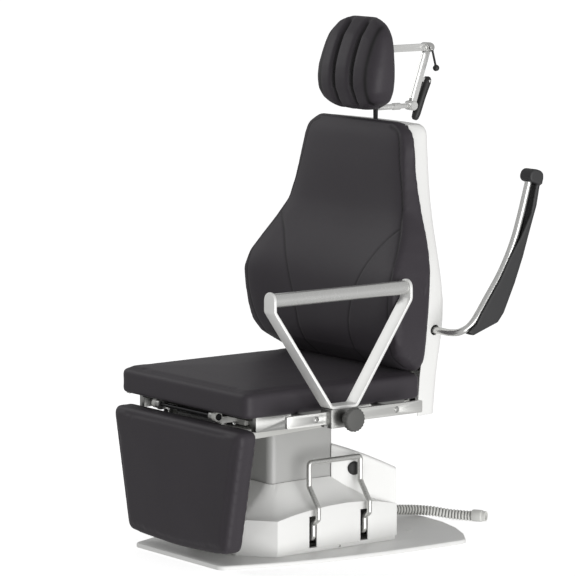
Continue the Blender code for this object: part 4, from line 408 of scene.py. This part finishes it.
def ribbed(name, line, sides):
    """A closed tube along a line whose wall rises and falls in round ribs; 'groove' holds the valleys."""
    travelled = [0.0]
    for a, b in zip(line, line[1:]):
        travelled.append(travelled[-1] + (b - a).length)
    verts, groove, across = [], [], Vector((1, 0, 0))
    for index, here in enumerate(line):
        way = (line[min(index + 1, len(line) - 1)] - line[max(index - 1, 0)]).normalized()
        across = (across - way * across.dot(way)).normalized()
        up = way.cross(across)
        height = abs(sin(pi * travelled[index] / HOSE_PITCH)) ** RIB_SHARPNESS
        radius = HOSE_VALLEY + (HOSE_RADIUS - HOSE_VALLEY) * height
        for k in range(sides):
            turn = 2 * pi * k / sides
            verts.append(here + (across * cos(turn) + up * sin(turn)) * radius)
            groove.append(1 - height)
    faces = [list(range(sides))]
    for ring in range(len(line) - 1):
        for k in range(sides):
            a, b = ring * sides + k, ring * sides + (k + 1) % sides
            faces.append([a, a + sides, b + sides, b])
    last = (len(line) - 1) * sides
    faces.append([last + k for k in range(sides)])
    mesh = bpy.data.meshes.new(name)
    mesh.from_pydata(verts, [], faces)
    mesh.attributes.new("groove", "FLOAT", "POINT").data.foreach_set("value", groove)
    tube = bpy.data.objects.new(name, mesh)
    bpy.context.scene.collection.objects.link(tube)
    alone(tube)
    bpy.ops.object.mode_set(mode="EDIT")
    bpy.ops.mesh.select_all(action="SELECT")
    bpy.ops.mesh.normals_make_consistent(inside=False)
    bpy.ops.object.mode_set(mode="OBJECT")
    bpy.ops.object.shade_smooth_by_angle(angle=radians(50))
    return tube


# Soft white PVC: satin ribs, with painted shade darkening the valleys between them
hose_pvc = blank_finish("ribbed_white_pvc")
depth = wire(hose_pvc, "ShaderNodeAttribute", {}, attribute_name="groove").outputs["Fac"]
spot = wire(hose_pvc, "ShaderNodeTexCoord", {}).outputs["Object"]
DUST_PATCH = 12.0
dust = {"Vector": spot, "Scale": 1000 / DUST_PATCH, "Detail": 3.0}
dust = wire(hose_pvc, "ShaderNodeTexNoise", dust).outputs["Fac"]
# The valleys are painted darker by their depth: painted shade between the ribs
painted_valley_shade = {"Value": depth, "From Min": 0.25, "From Max": 0.85}
painted_valley_shade = wire(hose_pvc, "ShaderNodeMapRange", painted_valley_shade).outputs[0]
pvc_tone = mixed(hose_pvc, dust, linear("#D6D6D2"), linear("#DEDEDA"))
shade = mixed(hose_pvc, painted_valley_shade, pvc_tone, linear("#62625F"))
gloss = wire(hose_pvc, "ShaderNodeMapRange", {"Value": dust, "To Min": 0.38, "To Max": 0.5}).outputs[0]
pvc = wire(hose_pvc, "ShaderNodeBsdfPrincipled", {"Base Color": shade, "Roughness": gloss, "IOR": 1.53})
wire(hose_pvc, "ShaderNodeOutputMaterial", {"Surface": pvc.outputs[0]})

eased("hose_gland", black_nylon, edge=0.0012)
cuff = eased("hose_cuff", hose_pvc, edge=0.001)
hose_line = smooth_line(HOSE_MARKS, HOSE_PITCH / RINGS_A_RIB)
hose = ribbed("ribbed_cable_hose", hose_line, HOSE_SIDES)
stand_in(hose, "ribbed_hose", hose_pvc)


# Lift: an electric spindle drive in a column of three nested stages. The outer cover and the two drawn
# aluminium stages slide on plastic glide rings; the drive's feet are bolted to the floor plate.

# Bead-blasted, anodised aluminium: an even silver satin
satin_aluminium = coated(
    "anodised_aluminium",
    ("#DADAD8", "#E0E0DE"),
    patch=70,
    grain=1.4,
    roughness=(0.22, 0.30),
    relief=0.02,
    metallic=0.8,
)
# Die-cast aluminium, stove enamelled pale grey: a soft gloss over the casting's slight pebble
cast_aluminium = coated(
    "enamelled_cast_aluminium",
    ("#B9B9B5", "#C1C1BD"),
    patch=60,
    grain=3.2,
    roughness=(0.34, 0.44),
    relief=0.09,
    worn="#CFCFCB",
)


def refinish(finish, *nodes):
    """Gives CAD nodes that keep their shape a finish of their own."""
    for node in nodes:
        frame["nodes"][node].material_slots[0].material = finish


refinish(satin_aluminium, "column_lower_stage", "column_middle_stage")
refinish(black_nylon, "lower_glide_ring", "upper_glide_ring", "lift_motor")
refinish(cast_aluminium, "lift_actuator", "column_head")
refinish(bright_steel, "lift_rod", "swivel_race_lower", "swivel_race_upper")
# The column's own cover is of the same white ABS, drawn grey: painted shade from the seat above it
white_abs_in_painted_shade = coated("formed_white_abs_painted_shade", ("#ABABA9", "#B1B1AF"), **ABS_GRAIN)
eased("column_cover", white_abs_in_painted_shade, edge=0.0015)


# Foot rails: on each side a bent tube with two legs that enter the base through slots and swing on an
# axle between brackets inside. Ground steel tube on painted steel brackets.

RAIL_TUBE, RAIL_BEND = 0.007, 0.0078
RAIL_LEG = ((0.1349, 0.0497), (0.190, 0.048), (0.190, 0.086), (0.211, 0.100), (0.211, 0.131))
RAIL_LEG += ((0.172, 0.181), (0.172, 0.243))
RAIL_ENDS = (-0.018, 0.1495)
RAIL_PIVOT = (0.126, 0.050)
SLEEVE_RADIUS, SLEEVE_SPARE = 0.011, 0.012


def bent_line(corners, radius, steps=8):
    """A run of straight lengths whose corners are bent to a radius, as a bent tube is."""
    points = [Vector(corners[0])]
    for before, corner, after in zip(corners, corners[1:], corners[2:]):
        here = Vector(corner)
        back = (Vector(before) - here).normalized()
        ahead = (Vector(after) - here).normalized()
        half = back.angle(ahead) / 2
        centre = here + (back + ahead).normalized() * radius / sin(half)
        start = here + back * radius / tan(half) - centre
        end = here + ahead * radius / tan(half) - centre
        for i in range(steps + 1):
            points.append(centre + start.slerp(end, i / steps).normalized() * start.length)
    points.append(Vector(corners[-1]))
    return points


def drawn_tube(name, points, radius):
    """A round tube drawn along a line, with closed ends."""
    line = bpy.data.curves.new(name, "CURVE")
    line.dimensions = "3D"
    line.bevel_depth = radius
    line.bevel_resolution = 8
    line.use_fill_caps = True
    run = line.splines.new("POLY")
    run.points.add(len(points) - 1)
    for knot, point in zip(run.points, points):
        knot.co = (*point, 1.0)
    tube = bpy.data.objects.new(name, line)
    bpy.context.scene.collection.objects.link(tube)
    alone(tube)
    bpy.ops.object.convert(target="MESH")
    tube = bpy.context.object
    bpy.ops.object.mode_set(mode="EDIT")
    bpy.ops.mesh.select_all(action="SELECT")
    bpy.ops.mesh.remove_doubles(threshold=MERGE)
    bpy.ops.mesh.normals_make_consistent(inside=False)
    bpy.ops.object.mode_set(mode="OBJECT")
    bpy.ops.object.shade_smooth_by_angle(angle=radians(40))
    return tube


# Satin steel tube: ground fine and left bare, a grey metal with a soft highlight
satin_tube = coated(
    "ground_steel_tube",
    ("#C8C8C5", "#D0D0CD"),
    patch=60,
    grain=1.6,
    roughness=(0.24, 0.32),
    relief=0.01,
    metallic=0.75,
)
# Enamelled sheet steel inside the base and under the seat
grey_enamel = coated(
    "grey_enamelled_steel",
    ("#AFAFAB", "#B7B7B3"),
    patch=60,
    grain=2.4,
    roughness=(0.35, 0.45),
    relief=0.05,
    worn="#C6C6C2",
)
for side, label in SIDES:
    corners = [(side * x, RAIL_ENDS[0], z) for x, z in RAIL_LEG]
    corners += [(side * x, RAIL_ENDS[1], z) for x, z in reversed(RAIL_LEG)]
    rail = drawn_tube(f"foot_rail_{label}_tube", bent_line(corners, RAIL_BEND), RAIL_TUBE)
    sleeve_ends = (RAIL_ENDS[0] - SLEEVE_SPARE, RAIL_ENDS[1] + SLEEVE_SPARE)
    sleeve_line = [Vector((side * RAIL_PIVOT[0], y, RAIL_PIVOT[1])) for y in sleeve_ends]
    sleeve = drawn_tube(f"foot_rail_{label}_sleeve", sleeve_line, SLEEVE_RADIUS)
    alone(rail)
    sleeve.select_set(True)
    bpy.ops.object.join()
    stand_in(rail, f"foot_rail_{label}", satin_tube)
    refinish(grey_enamel, f"foot_rail_bracket_{label}")


# Seat frame: a cast carrier on the swivel bearing, the cast frame on it, and under it the hinge brackets,
# shafts and drives of the leg rest and the backrest.

eased("seat_carrier", cast_aluminium, edge=0.0035, steps=3)
# Bare cast aluminium: grey, blasted after casting
bare_casting = coated(
    "blasted_cast_aluminium",
    ("#9C9C9A", "#A6A6A4"),
    patch=60,
    grain=2.0,
    roughness=(0.32, 0.42),
    relief=0.04,
    metallic=1.0,
)
eased("seat_frame", bare_casting, edge=0.0012)
for bracket in ("leg_rest_bracket", "recline_bracket"):
    for _, label in SIDES:
        eased(f"{bracket}_{label}", grey_enamel, edge=0.001)
refinish(black_nylon, "leg_rest_drive", "recline_drive")
# Blackened steel: oiled after heating, dark with a dull metal gloss. On the headrest post's upright it is
# painted shade for a plated post's shaded edge
black_steel_and_post_shade = coated(
    "blackened_steel_and_post_shade",
    ("#2A2A2B", "#333334"),
    patch=30,
    grain=1.6,
    roughness=(0.32, 0.44),
    relief=0.02,
    metallic=1.0,
)
refinish(black_steel_and_post_shade, "leg_rest_shaft", "recline_shaft")
for side, label in SIDES:
    set_screw(f"carrier_screw_{label}", (side * 0.186, -0.2281, 0.3445), (0, -1, 0), 0.75, "seat")
set_screw("leg_rest_bracket_screw", (0.1699, -0.2560, 0.3715), (1, 0, 0), 0.8, "seat")


# Side rails: flat steel bars for accessories, standing off both long sides of the seat frame on spacers and
# held by two socket screws each.

# Brushed stainless steel: fine lines along the bar that stretch its highlights
brushed_steel = blank_finish("brushed_stainless_steel")
LINE_ACROSS, LINE_ALONG = 1.2, 90.0
spot = wire(brushed_steel, "ShaderNodeTexCoord", {}).outputs["Object"]
stretch = {"Vector": spot, "Scale": (1000 / LINE_ACROSS, 1000 / LINE_ALONG, 1000 / LINE_ACROSS)}
drawn = wire(brushed_steel, "ShaderNodeMapping", stretch).outputs[0]
lines = {"Vector": drawn, "Scale": 1.0, "Detail": 3.0}
lines = wire(brushed_steel, "ShaderNodeTexNoise", lines).outputs["Fac"]
tone = mixed(brushed_steel, lines, linear("#D2D2CF"), linear("#DEDEDB"))
gloss = {"Value": lines, "To Min": 0.26, "To Max": 0.42}
gloss = wire(brushed_steel, "ShaderNodeMapRange", gloss).outputs[0]
score = {"Height": lines, "Strength": 0.3, "Distance": 0.00002}
score = wire(brushed_steel, "ShaderNodeBump", score).outputs[0]
steel = {"Base Color": tone, "Roughness": gloss, "Normal": score, "Metallic": 0.8}
steel = wire(brushed_steel, "ShaderNodeBsdfPrincipled", steel)
wire(brushed_steel, "ShaderNodeOutputMaterial", {"Surface": steel.outputs[0]})

RAIL_FACE, RAIL_MIDDLE, RAIL_BOLTS = 0.352, 0.392, (-0.133, 0.1256)
for side, label in SIDES:
    eased(f"side_rail_{label}", brushed_steel, edge=0.0012, steps=3)
    for number, y in enumerate(RAIL_BOLTS, 1):
        place = (side * (RAIL_FACE + HAIR), y, RAIL_MIDDLE)
        set_screw(f"side_rail_{label}_screw_{number}", place, (side, 0, 0), 1.0, "seat")


# Seat: a plywood board with a boxy moulded foam cushion on it, covered in charcoal artificial leather that
# is drawn tight round the edges and stapled under the board.

# Birch plywood stained black: fine grain along the board, dull
birch_ply = blank_finish("black_stained_birch_plywood")
GRAIN_ACROSS, GRAIN_ALONG = 3.0, 120.0
spot = wire(birch_ply, "ShaderNodeTexCoord", {}).outputs["Object"]
stretch = {"Vector": spot, "Scale": (1000 / GRAIN_ACROSS, 1000 / GRAIN_ALONG, 1000 / GRAIN_ACROSS)}
veneer = wire(birch_ply, "ShaderNodeMapping", stretch).outputs[0]
grain = {"Vector": veneer, "Scale": 1.0, "Detail": 4.0}
grain = wire(birch_ply, "ShaderNodeTexNoise", grain).outputs["Fac"]
tone = mixed(birch_ply, grain, linear("#1C1A18"), linear("#2A2724"))
pores = {"Height": grain, "Strength": 0.4, "Distance": 0.0001}
pores = wire(birch_ply, "ShaderNodeBump", pores).outputs[0]
ply = wire(birch_ply, "ShaderNodeBsdfPrincipled", {"Base Color": tone, "Roughness": 0.6, "Normal": pores})
wire(birch_ply, "ShaderNodeOutputMaterial", {"Surface": ply.outputs[0]})
refinish(birch_ply, "seat_board", "backrest_board")

# Artificial leather: vinyl on a knit, embossed with a small pebble grain, charcoal with a soft sheen. The
# seams are drawn in by their thread, and a darker line is painted along them ("seam" on the mesh): the
# thread, and painted shade in their crease.
PEBBLE, TONE_PATCH = 2.2, 120.0
charcoal_vinyl = blank_finish("charcoal_vinyl_leather")
spot = wire(charcoal_vinyl, "ShaderNodeTexCoord", {}).outputs["Object"]
pebbles = {"Vector": spot, "Scale": 1000 / PEBBLE}
pebbles = wire(charcoal_vinyl, "ShaderNodeTexVoronoi", pebbles, feature="SMOOTH_F1").outputs["Distance"]
drift = {"Vector": spot, "Scale": 1000 / TONE_PATCH, "Detail": 3.0}
drift = wire(charcoal_vinyl, "ShaderNodeTexNoise", drift).outputs["Fac"]
dye = mixed(charcoal_vinyl, drift, linear("#343035"), linear("#39353A"))
# The seam mark darkens the dye: the thread, and painted shade in the crease
seam_thread_and_shade = wire(charcoal_vinyl, "ShaderNodeAttribute", {}, attribute_name="seam").outputs["Fac"]
dye_and_seam_shade = mixed(charcoal_vinyl, seam_thread_and_shade, dye, linear("#131213"))
gloss = {"Value": pebbles, "To Min": 0.46, "To Max": 0.6}
gloss = wire(charcoal_vinyl, "ShaderNodeMapRange", gloss).outputs[0]
emboss = {"Height": pebbles, "Strength": 0.25, "Distance": 0.00018}
emboss = wire(charcoal_vinyl, "ShaderNodeBump", emboss).outputs[0]
vinyl = {"Base Color": dye_and_seam_shade, "Roughness": gloss, "Normal": emboss, "IOR": 1.45}
vinyl |= {"Specular IOR Level": 0.35, "Sheen Weight": 0.02, "Sheen Roughness": 0.5}
vinyl = wire(charcoal_vinyl, "ShaderNodeBsdfPrincipled", vinyl)
wire(charcoal_vinyl, "ShaderNodeOutputMaterial", {"Surface": vinyl.outputs[0]})

FILLING_PRESSURE, SETTLING_FRAMES = 4.0, 16
HELD_DEPTH = 0.008


def points_of(piece):
    """A mesh's points as rows of x, y and z."""
    rows = np.empty(len(piece.data.vertices) * 3)
    piece.data.vertices.foreach_get("co", rows)
    return rows.reshape(-1, 3)


def normals_of(piece):
    """The outward directions at a mesh's points, as rows."""
    rows = np.empty(len(piece.data.vertices) * 3)
    piece.data.vertex_normals.foreach_get("vector", rows)
    return rows.reshape(-1, 3)


def put_points(piece, points):
    """Moves a mesh's points to the given rows."""
    piece.data.vertices.foreach_set("co", points.ravel())
    piece.data.update()


def softened(node, grid, softness):
    """The CAD foam as an even skin of small faces, its edges softened."""
    piece = merged_copy(node, "_cover")
    remesh = piece.modifiers.new("remesh", "REMESH")
    remesh.mode = "VOXEL"
    remesh.voxel_size = grid
    soften = piece.modifiers.new("soften", "SMOOTH")
    soften.factor = 0.5
    soften.iterations = softness
    for name in ("remesh", "soften"):
        bpy.ops.object.modifier_apply(modifier=name)
    return piece


def stuffed(node, grid, softness, spare, swell, held):
    """The sewn cover of a pad: the softened CAD foam, let out by what the softening took off and blown up
    by its filling as cloth, with the part that lies on its board held."""
    piece = softened(node, grid, softness)
    let_out = piece.modifiers.new("let_out", "DISPLACE")
    let_out.strength = spare
    let_out.mid_level = 0.0
    bpy.ops.object.modifier_apply(modifier="let_out")
    slack, normals = points_of(piece), normals_of(piece)
    resting = piece.vertex_groups.new(name="resting")
    resting.add([int(i) for i in np.flatnonzero(held(slack))], 1.0, "REPLACE")
    cloth = piece.modifiers.new("cloth", "CLOTH")
    cloth.settings.quality = 4
    cloth.settings.use_pressure = True
    cloth.settings.uniform_pressure_force = FILLING_PRESSURE
    cloth.settings.vertex_group_mass = "resting"
    cloth.settings.effector_weights.gravity = 0.0
    cloth.collision_settings.use_collision = False
    for moment in range(1, SETTLING_FRAMES + 1):
        bpy.context.scene.frame_set(moment)
    bpy.ops.object.modifier_apply(modifier="cloth")
    bpy.context.scene.frame_set(1)
    outward = np.clip(np.sum((points_of(piece) - slack) * normals, axis=1), 0.0, swell)
    put_points(piece, slack + normals * outward[:, None])
    piece.vertex_groups.clear()
    full = piece.modifiers.new("full", "SUBSURF")
    full.levels = full.render_levels = 1
    bpy.ops.object.modifier_apply(modifier="full")
    bpy.ops.object.shade_smooth()
    return piece


SEAT_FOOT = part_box("seat_cushion")[0][2]
seat_pad = stuffed(
    "seat_cushion",
    grid=0.0066,
    softness=8,
    spare=0.003,
    swell=0.004,
    held=lambda p: p[:, 2] < SEAT_FOOT + HELD_DEPTH,
)
stand_in(seat_pad, "seat_cushion", charcoal_vinyl)


# Leg rest: a pad like the seat's, wider above than below, on a cast frame that hangs from the hinge shaft
# under the seat's front edge.

eased("leg_rest_frame", bare_casting, edge=0.0012)
LEG_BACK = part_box("leg_rest_pad")[1][1]
leg_pad = stuffed(
    "leg_rest_pad",
    grid=0.0062,
    softness=7,
    spare=0.0025,
    swell=0.004,
    held=lambda p: p[:, 1] > LEG_BACK - HELD_DEPTH,
)
stand_in(leg_pad, "leg_rest_pad", charcoal_vinyl)


# Backrest: a plywood board between a white moulded shell behind and a foam cushion in front. The cushion's
# cover has a middle panel, curved side panels and a border sewn along the front edge.

eased("recline_yoke", brushed_steel, edge=0.001)
SHELL_CREASE = 32
shell = eased("backrest_shell", white_abs, edge=0.003, steps=3, crease=SHELL_CREASE)
# The moulding is rounded over at its top, so the solid's sloped end is cut into rings and filled out
SLOPE_FOOT, SLOPE_TOP, SLOPE_IN, SLOPE_BACK = 1.0498, 1.100, 0.1075, 0.012
SHELL_FRONT, SHELL_DEPTH, TOP_ROUND = 0.291, 0.022, 0.026
TOP_RINGS = (1.058, 1.066, 1.074, 1.080, 1.085, 1.089, 1.0925, 1.0948, 1.0985)
rings = bmesh.new()
rings.from_mesh(shell.data)
for level in TOP_RINGS:
    everything = [*rings.verts, *rings.edges, *rings.faces]
    bmesh.ops.bisect_plane(rings, geom=everything, plane_co=(0, 0, level), plane_no=(0, 0, 1))
rings.to_mesh(shell.data)
rings.free()
points = points_of(shell)
sloped = np.clip((points[:, 2] - SLOPE_FOOT) / (SLOPE_TOP - SLOPE_FOOT), 0.0, 1.0)
rounded = np.clip((points[:, 2] - SLOPE_TOP + TOP_ROUND) / TOP_ROUND, 0.0, 1.0)
fill = sloped - 1 + np.sqrt(1 - rounded**2)
fill *= np.clip((points[:, 1] - SHELL_FRONT) / SHELL_DEPTH, 0.0, 1.0)
# The hole for the headrest's post stays where it is
HOLE_HALF, HOLE_BACK = 0.014, 0.3425
fill[(np.abs(points[:, 0]) < HOLE_HALF) & (points[:, 1] < HOLE_BACK)] = 0.0
points[:, 0] *= 1 + SLOPE_IN * fill
points[:, 1] += SLOPE_BACK * fill
put_points(shell, points)
alone(shell)
bpy.ops.object.shade_smooth_by_angle(angle=radians(SHELL_CREASE))
refinish(black_nylon, "armrest_bearing_left", "armrest_bearing_right", "headrest_guide")

PANEL_SEAM = ((0.255, 0.842), (0.205, 0.792), (0.155, 0.712), (0.126, 0.645), (0.112, 0.590))
PANEL_SEAM += ((0.109, 0.545), (0.106, 0.500), (0.103, 0.474))
BORDER_SEAM = ((0.150, 1.096), (0.186, 1.075), (0.205, 1.000), (0.225, 0.930), (0.250, 0.850))
BORDER_SEAM += ((0.284, 0.780), (0.302, 0.720), (0.298, 0.645), (0.288, 0.580), (0.272, 0.520))
BORDER_SEAM += ((0.255, 0.480),)
SEAM_STEP, SEAM_FACING, THREAD_AND_SHADE_SHARE = 0.004, 4, 0.6


def sewn(piece, seams, depth, width):
    """Draws a cover in along seams given on its front as lines of (x, z), and marks them for a darker line:
    the thread, and painted shade in the crease.
    """
    points, normals = points_of(piece), normals_of(piece)
    distance = np.full(len(points), 1.0)
    for seam in seams:
        line = np.array([tuple(p) for p in smooth_line([(x, 0.0, z) for x, z in seam], SEAM_STEP)])
        for a, b in zip(line[:-1, [0, 2]], line[1:, [0, 2]]):
            run = b - a
            share = np.clip((points[:, [0, 2]] - a) @ run / (run @ run), 0, 1)
            apart = points[:, [0, 2]] - a - share[:, None] * run
            distance = np.minimum(distance, np.hypot(apart[:, 0], apart[:, 1]))
    facing = np.clip(-normals[:, 1] * SEAM_FACING, 0, 1)
    pull = np.exp(-((distance / width) ** 2)) * facing
    put_points(piece, points - normals * depth * pull[:, None])
    # The darker line: the thread, and painted shade in the drawn-in crease
    thread_and_crease_shade = np.exp(-((distance / (width * THREAD_AND_SHADE_SHARE)) ** 2)) * facing
    marks = piece.data.attributes.get("seam") or piece.data.attributes.new("seam", "FLOAT", "POINT")
    before = np.empty(len(points))
    marks.data.foreach_get("value", before)
    marks.data.foreach_set("value", np.maximum(before, thread_and_crease_shade))


BACK_FOOT, BACK_LEAN, BACK_HELD = (0.277, 0.466), 0.022, 0.010
back_pad = stuffed(
    "backrest_cushion",
    grid=0.0072,
    softness=4,
    spare=0.001,
    swell=0.003,
    held=lambda p: p[:, 1] > BACK_FOOT[0] + BACK_LEAN * (p[:, 2] - BACK_FOOT[1]) - BACK_HELD,
)
# The cushion's front is smoothed into one fair sweep before it is sewn
FRONT_FACING, FAIRING = -0.75, 300
front = back_pad.vertex_groups.new(name="front")
front.add([int(i) for i in np.flatnonzero(normals_of(back_pad)[:, 1] < FRONT_FACING)], 1.0, "REPLACE")
alone(back_pad)
fair = back_pad.modifiers.new("fair", "SMOOTH")
fair.factor = 0.5
fair.iterations = FAIRING
fair.vertex_group = "front"
bpy.ops.object.modifier_apply(modifier="fair")
back_pad.vertex_groups.clear()
seams = [[(side * x, z) for x, z in seam] for seam in (PANEL_SEAM, BORDER_SEAM) for side, _ in SIDES]
sewn(back_pad, seams, depth=0.0014, width=0.0034)
stand_in(back_pad, "backrest_cushion", charcoal_vinyl)


# Swing armrests: on each side a bent tube that turns in a bearing behind the backrest, with a hollow
# moulded pad clipped over it. Drawn aluminium tube, and integral-skin foam.

ARM_MARKS = [
    (0.2345, 0.308, 0.573),
    (0.300, 0.308, 0.573),
    (0.345, 0.309, 0.573),
    (0.378, 0.318, 0.580),
    (0.390, 0.345, 0.602),
    (0.390, 0.393, 0.663),
    (0.390, 0.441, 0.729),
    (0.390, 0.4785, 0.800),
    (0.390, 0.503, 0.868),
    (0.390, 0.5285, 0.9532),
]
ARM_TUBE, ARM_STEP = 0.009, 0.004
ARM_GRID, ARM_SOFTNESS = 0.0024, 8
# Integral-skin polyurethane foam: a dull dark skin with a fine leather grain
skinned_foam = coated(
    "integral_skin_foam",
    ("#2A2A2B", "#313132"),
    patch=50,
    grain=1.8,
    roughness=(0.46, 0.60),
    relief=0.10,
    worn="#3A3A3B",
)
for side, label in SIDES:
    line = [Vector((side * p.x, p.y, p.z)) for p in smooth_line(ARM_MARKS, ARM_STEP)]
    arm = drawn_tube(f"armrest_tube_{label}_drawn", line, ARM_TUBE)
    stand_in(arm, f"armrest_tube_{label}", satin_aluminium)
    pad = softened(f"armrest_pad_{label}", ARM_GRID, ARM_SOFTNESS)
    bpy.ops.object.shade_smooth()
    stand_in(pad, f"armrest_pad_{label}", skinned_foam)


# Loop armrest: a clamp that slides on the left side rail, a flat bar bent to a V that stands on it, a round
# grip tube across the V's ends, and a knob that tightens the clamp.

eased("rail_clamp", bare_casting, edge=0.0018, steps=3)
# Bead-blasted flat bar: duller than the drawn tube, so that it spreads the light over its faces
blasted_bar = coated(
    "blasted_aluminium_bar",
    ("#F4F4F2", "#F8F8F6"),
    patch=70,
    grain=1.4,
    roughness=(0.38, 0.48),
    relief=0.02,
    metallic=0.45,
)
eased("loop_strap", blasted_bar, edge=0.0014, steps=3)
grip_low, grip_high = (Vector(corner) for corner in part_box("loop_grip_tube"))
grip_middle = (grip_low + grip_high) / 2
GRIP_RADIUS = 0.018
grip_line = [Vector((grip_middle.x, y, grip_middle.z)) for y in (grip_low.y, grip_high.y)]
grip = drawn_tube("loop_grip_drawn", grip_line, GRIP_RADIUS)
stand_in(grip, "loop_grip_tube", satin_aluminium)
# Glass-filled nylon in mid grey, moulded with a matt grain
grey_nylon = coated(
    "moulded_grey_nylon",
    ("#535351", "#5B5B59"),
    patch=40,
    grain=1.8,
    roughness=(0.42, 0.54),
    relief=0.07,
    worn="#6A6A68",
)
eased("clamp_knob", grey_nylon, edge=0.0016, steps=3)


# Headrest: a post that slides in a guide in the backrest, a double link, and the bar that carries the pad.
# Plated steel, locked by a lever with a ball end and released by a squeeze handle of black nylon.

# Satin chromed steel: plated over a brushed ground, duller than the polished screws
satin_chrome = coated(
    "satin_chromed_steel",
    ("#DEDEDC", "#E6E6E4"),
    patch=50,
    grain=1.6,
    roughness=(0.20, 0.30),
    relief=0.01,
    metallic=0.6,
)
eased("headrest_bar", satin_chrome, edge=0.0010, steps=3)
# The link's thin plates keep the edges of their cutting
link = merged_copy("headrest_link", "_finished")
bpy.ops.object.shade_smooth_by_angle(angle=radians(30))
stand_in(link, "headrest_link", satin_chrome)
# The upright of the post is turned slimmer above its guide and drawn in the dark steel as painted shade,
# for the shaded edge of a plated post; the arm on it is plated
post = eased("headrest_post", satin_chrome, edge=0.0010, steps=3)
POST_PLACE, POST_BACK, POST_SHOULDER, POST_SLIM = 0.333, 0.3385, 1.118, 0.5
points = points_of(post)
upright = (points[:, 1] < POST_BACK) & (points[:, 2] < POST_SHOULDER)
points[upright, 0] *= POST_SLIM
points[upright, 1] = POST_PLACE + (points[upright, 1] - POST_PLACE) * POST_SLIM
put_points(post, points)
post.data.materials.append(black_steel_and_post_shade)
for face in post.data.polygons:
    face.material_index = 1 if face.center.y < POST_BACK and face.center.z < POST_SHOULDER else 0
# The lever's hub is plated like the pins, its stem and ball are nylon
lever = eased("clamp_lever", black_nylon, edge=0.0006, crease=40)
lever.data.materials.append(bright_steel)
HUB_PLACE, HUB_RADIUS = Vector((0.507, 1.282)), 0.0135
for face in lever.data.polygons:
    face.material_index = 1 if (face.center.yz - HUB_PLACE).length < HUB_RADIUS else 0
# The handle's grip is moulded a little fuller than its solid, and sits a little further back
handle = merged_copy("release_handle", "_finished")
bpy.ops.object.shade_smooth_by_angle(angle=radians(40))
stand_in(handle, "release_handle", black_nylon)
GRIP_FILL, GRIP_SHIFT = 0.0020, np.array((0.0, 0.0020, 0.0))
put_points(handle, points_of(handle) + normals_of(handle) * GRIP_FILL + GRIP_SHIFT)
set_screw("release_handle_screw", (0.0126, 0.507, 1.192), (1, 0, 0), 0.65, "handle")
bpy.data.objects.remove(screw)

HEAD_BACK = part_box("headrest_pad")[1][1]
HEAD_FOOT, HEAD_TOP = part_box("headrest_pad")[0][2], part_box("headrest_pad")[1][2]
head_pad = stuffed(
    "headrest_pad",
    grid=0.0042,
    softness=14,
    spare=0.002,
    swell=0.003,
    held=lambda p: p[:, 1] > HEAD_BACK - HELD_DEPTH,
)
# The foam is crowned forward in its middle, a little more towards the top
HEAD_HALF, CROWN, CROWN_LEAN = 0.128, 0.014, 0.016
points, normals = points_of(head_pad), normals_of(head_pad)
rise = np.clip((points[:, 2] - HEAD_FOOT) / (HEAD_TOP - HEAD_FOOT), 0.0, 1.0)
crown = (CROWN + CROWN_LEAN * (rise - 0.5)) * np.clip(1 - (points[:, 0] / HEAD_HALF) ** 2, 0.0, 1.0)
crown *= np.sqrt(np.sin(pi * rise)) * np.clip(-normals[:, 1] * 2, 0.0, 1.0)
points[:, 1] -= crown
put_points(head_pad, points)
# Two deep flutes and two shallow ones, each as its place across, its depth and its width. Each is painted
# dark down its middle by the seam mark: painted shade in its valley
FLUTES = ((0.037, 0.0080, 0.0095), (0.095, 0.0015, 0.0100))
FLUTE_FOOT, FLUTE_HEAD = HEAD_FOOT + 0.010, HEAD_TOP - 0.014
for x, depth, width in FLUTES:
    channels = [[(side * x, FLUTE_FOOT), (side * x, FLUTE_HEAD)] for side, _ in SIDES]
    sewn(head_pad, channels, depth, width)
stand_in(head_pad, "headrest_pad", charcoal_vinyl)
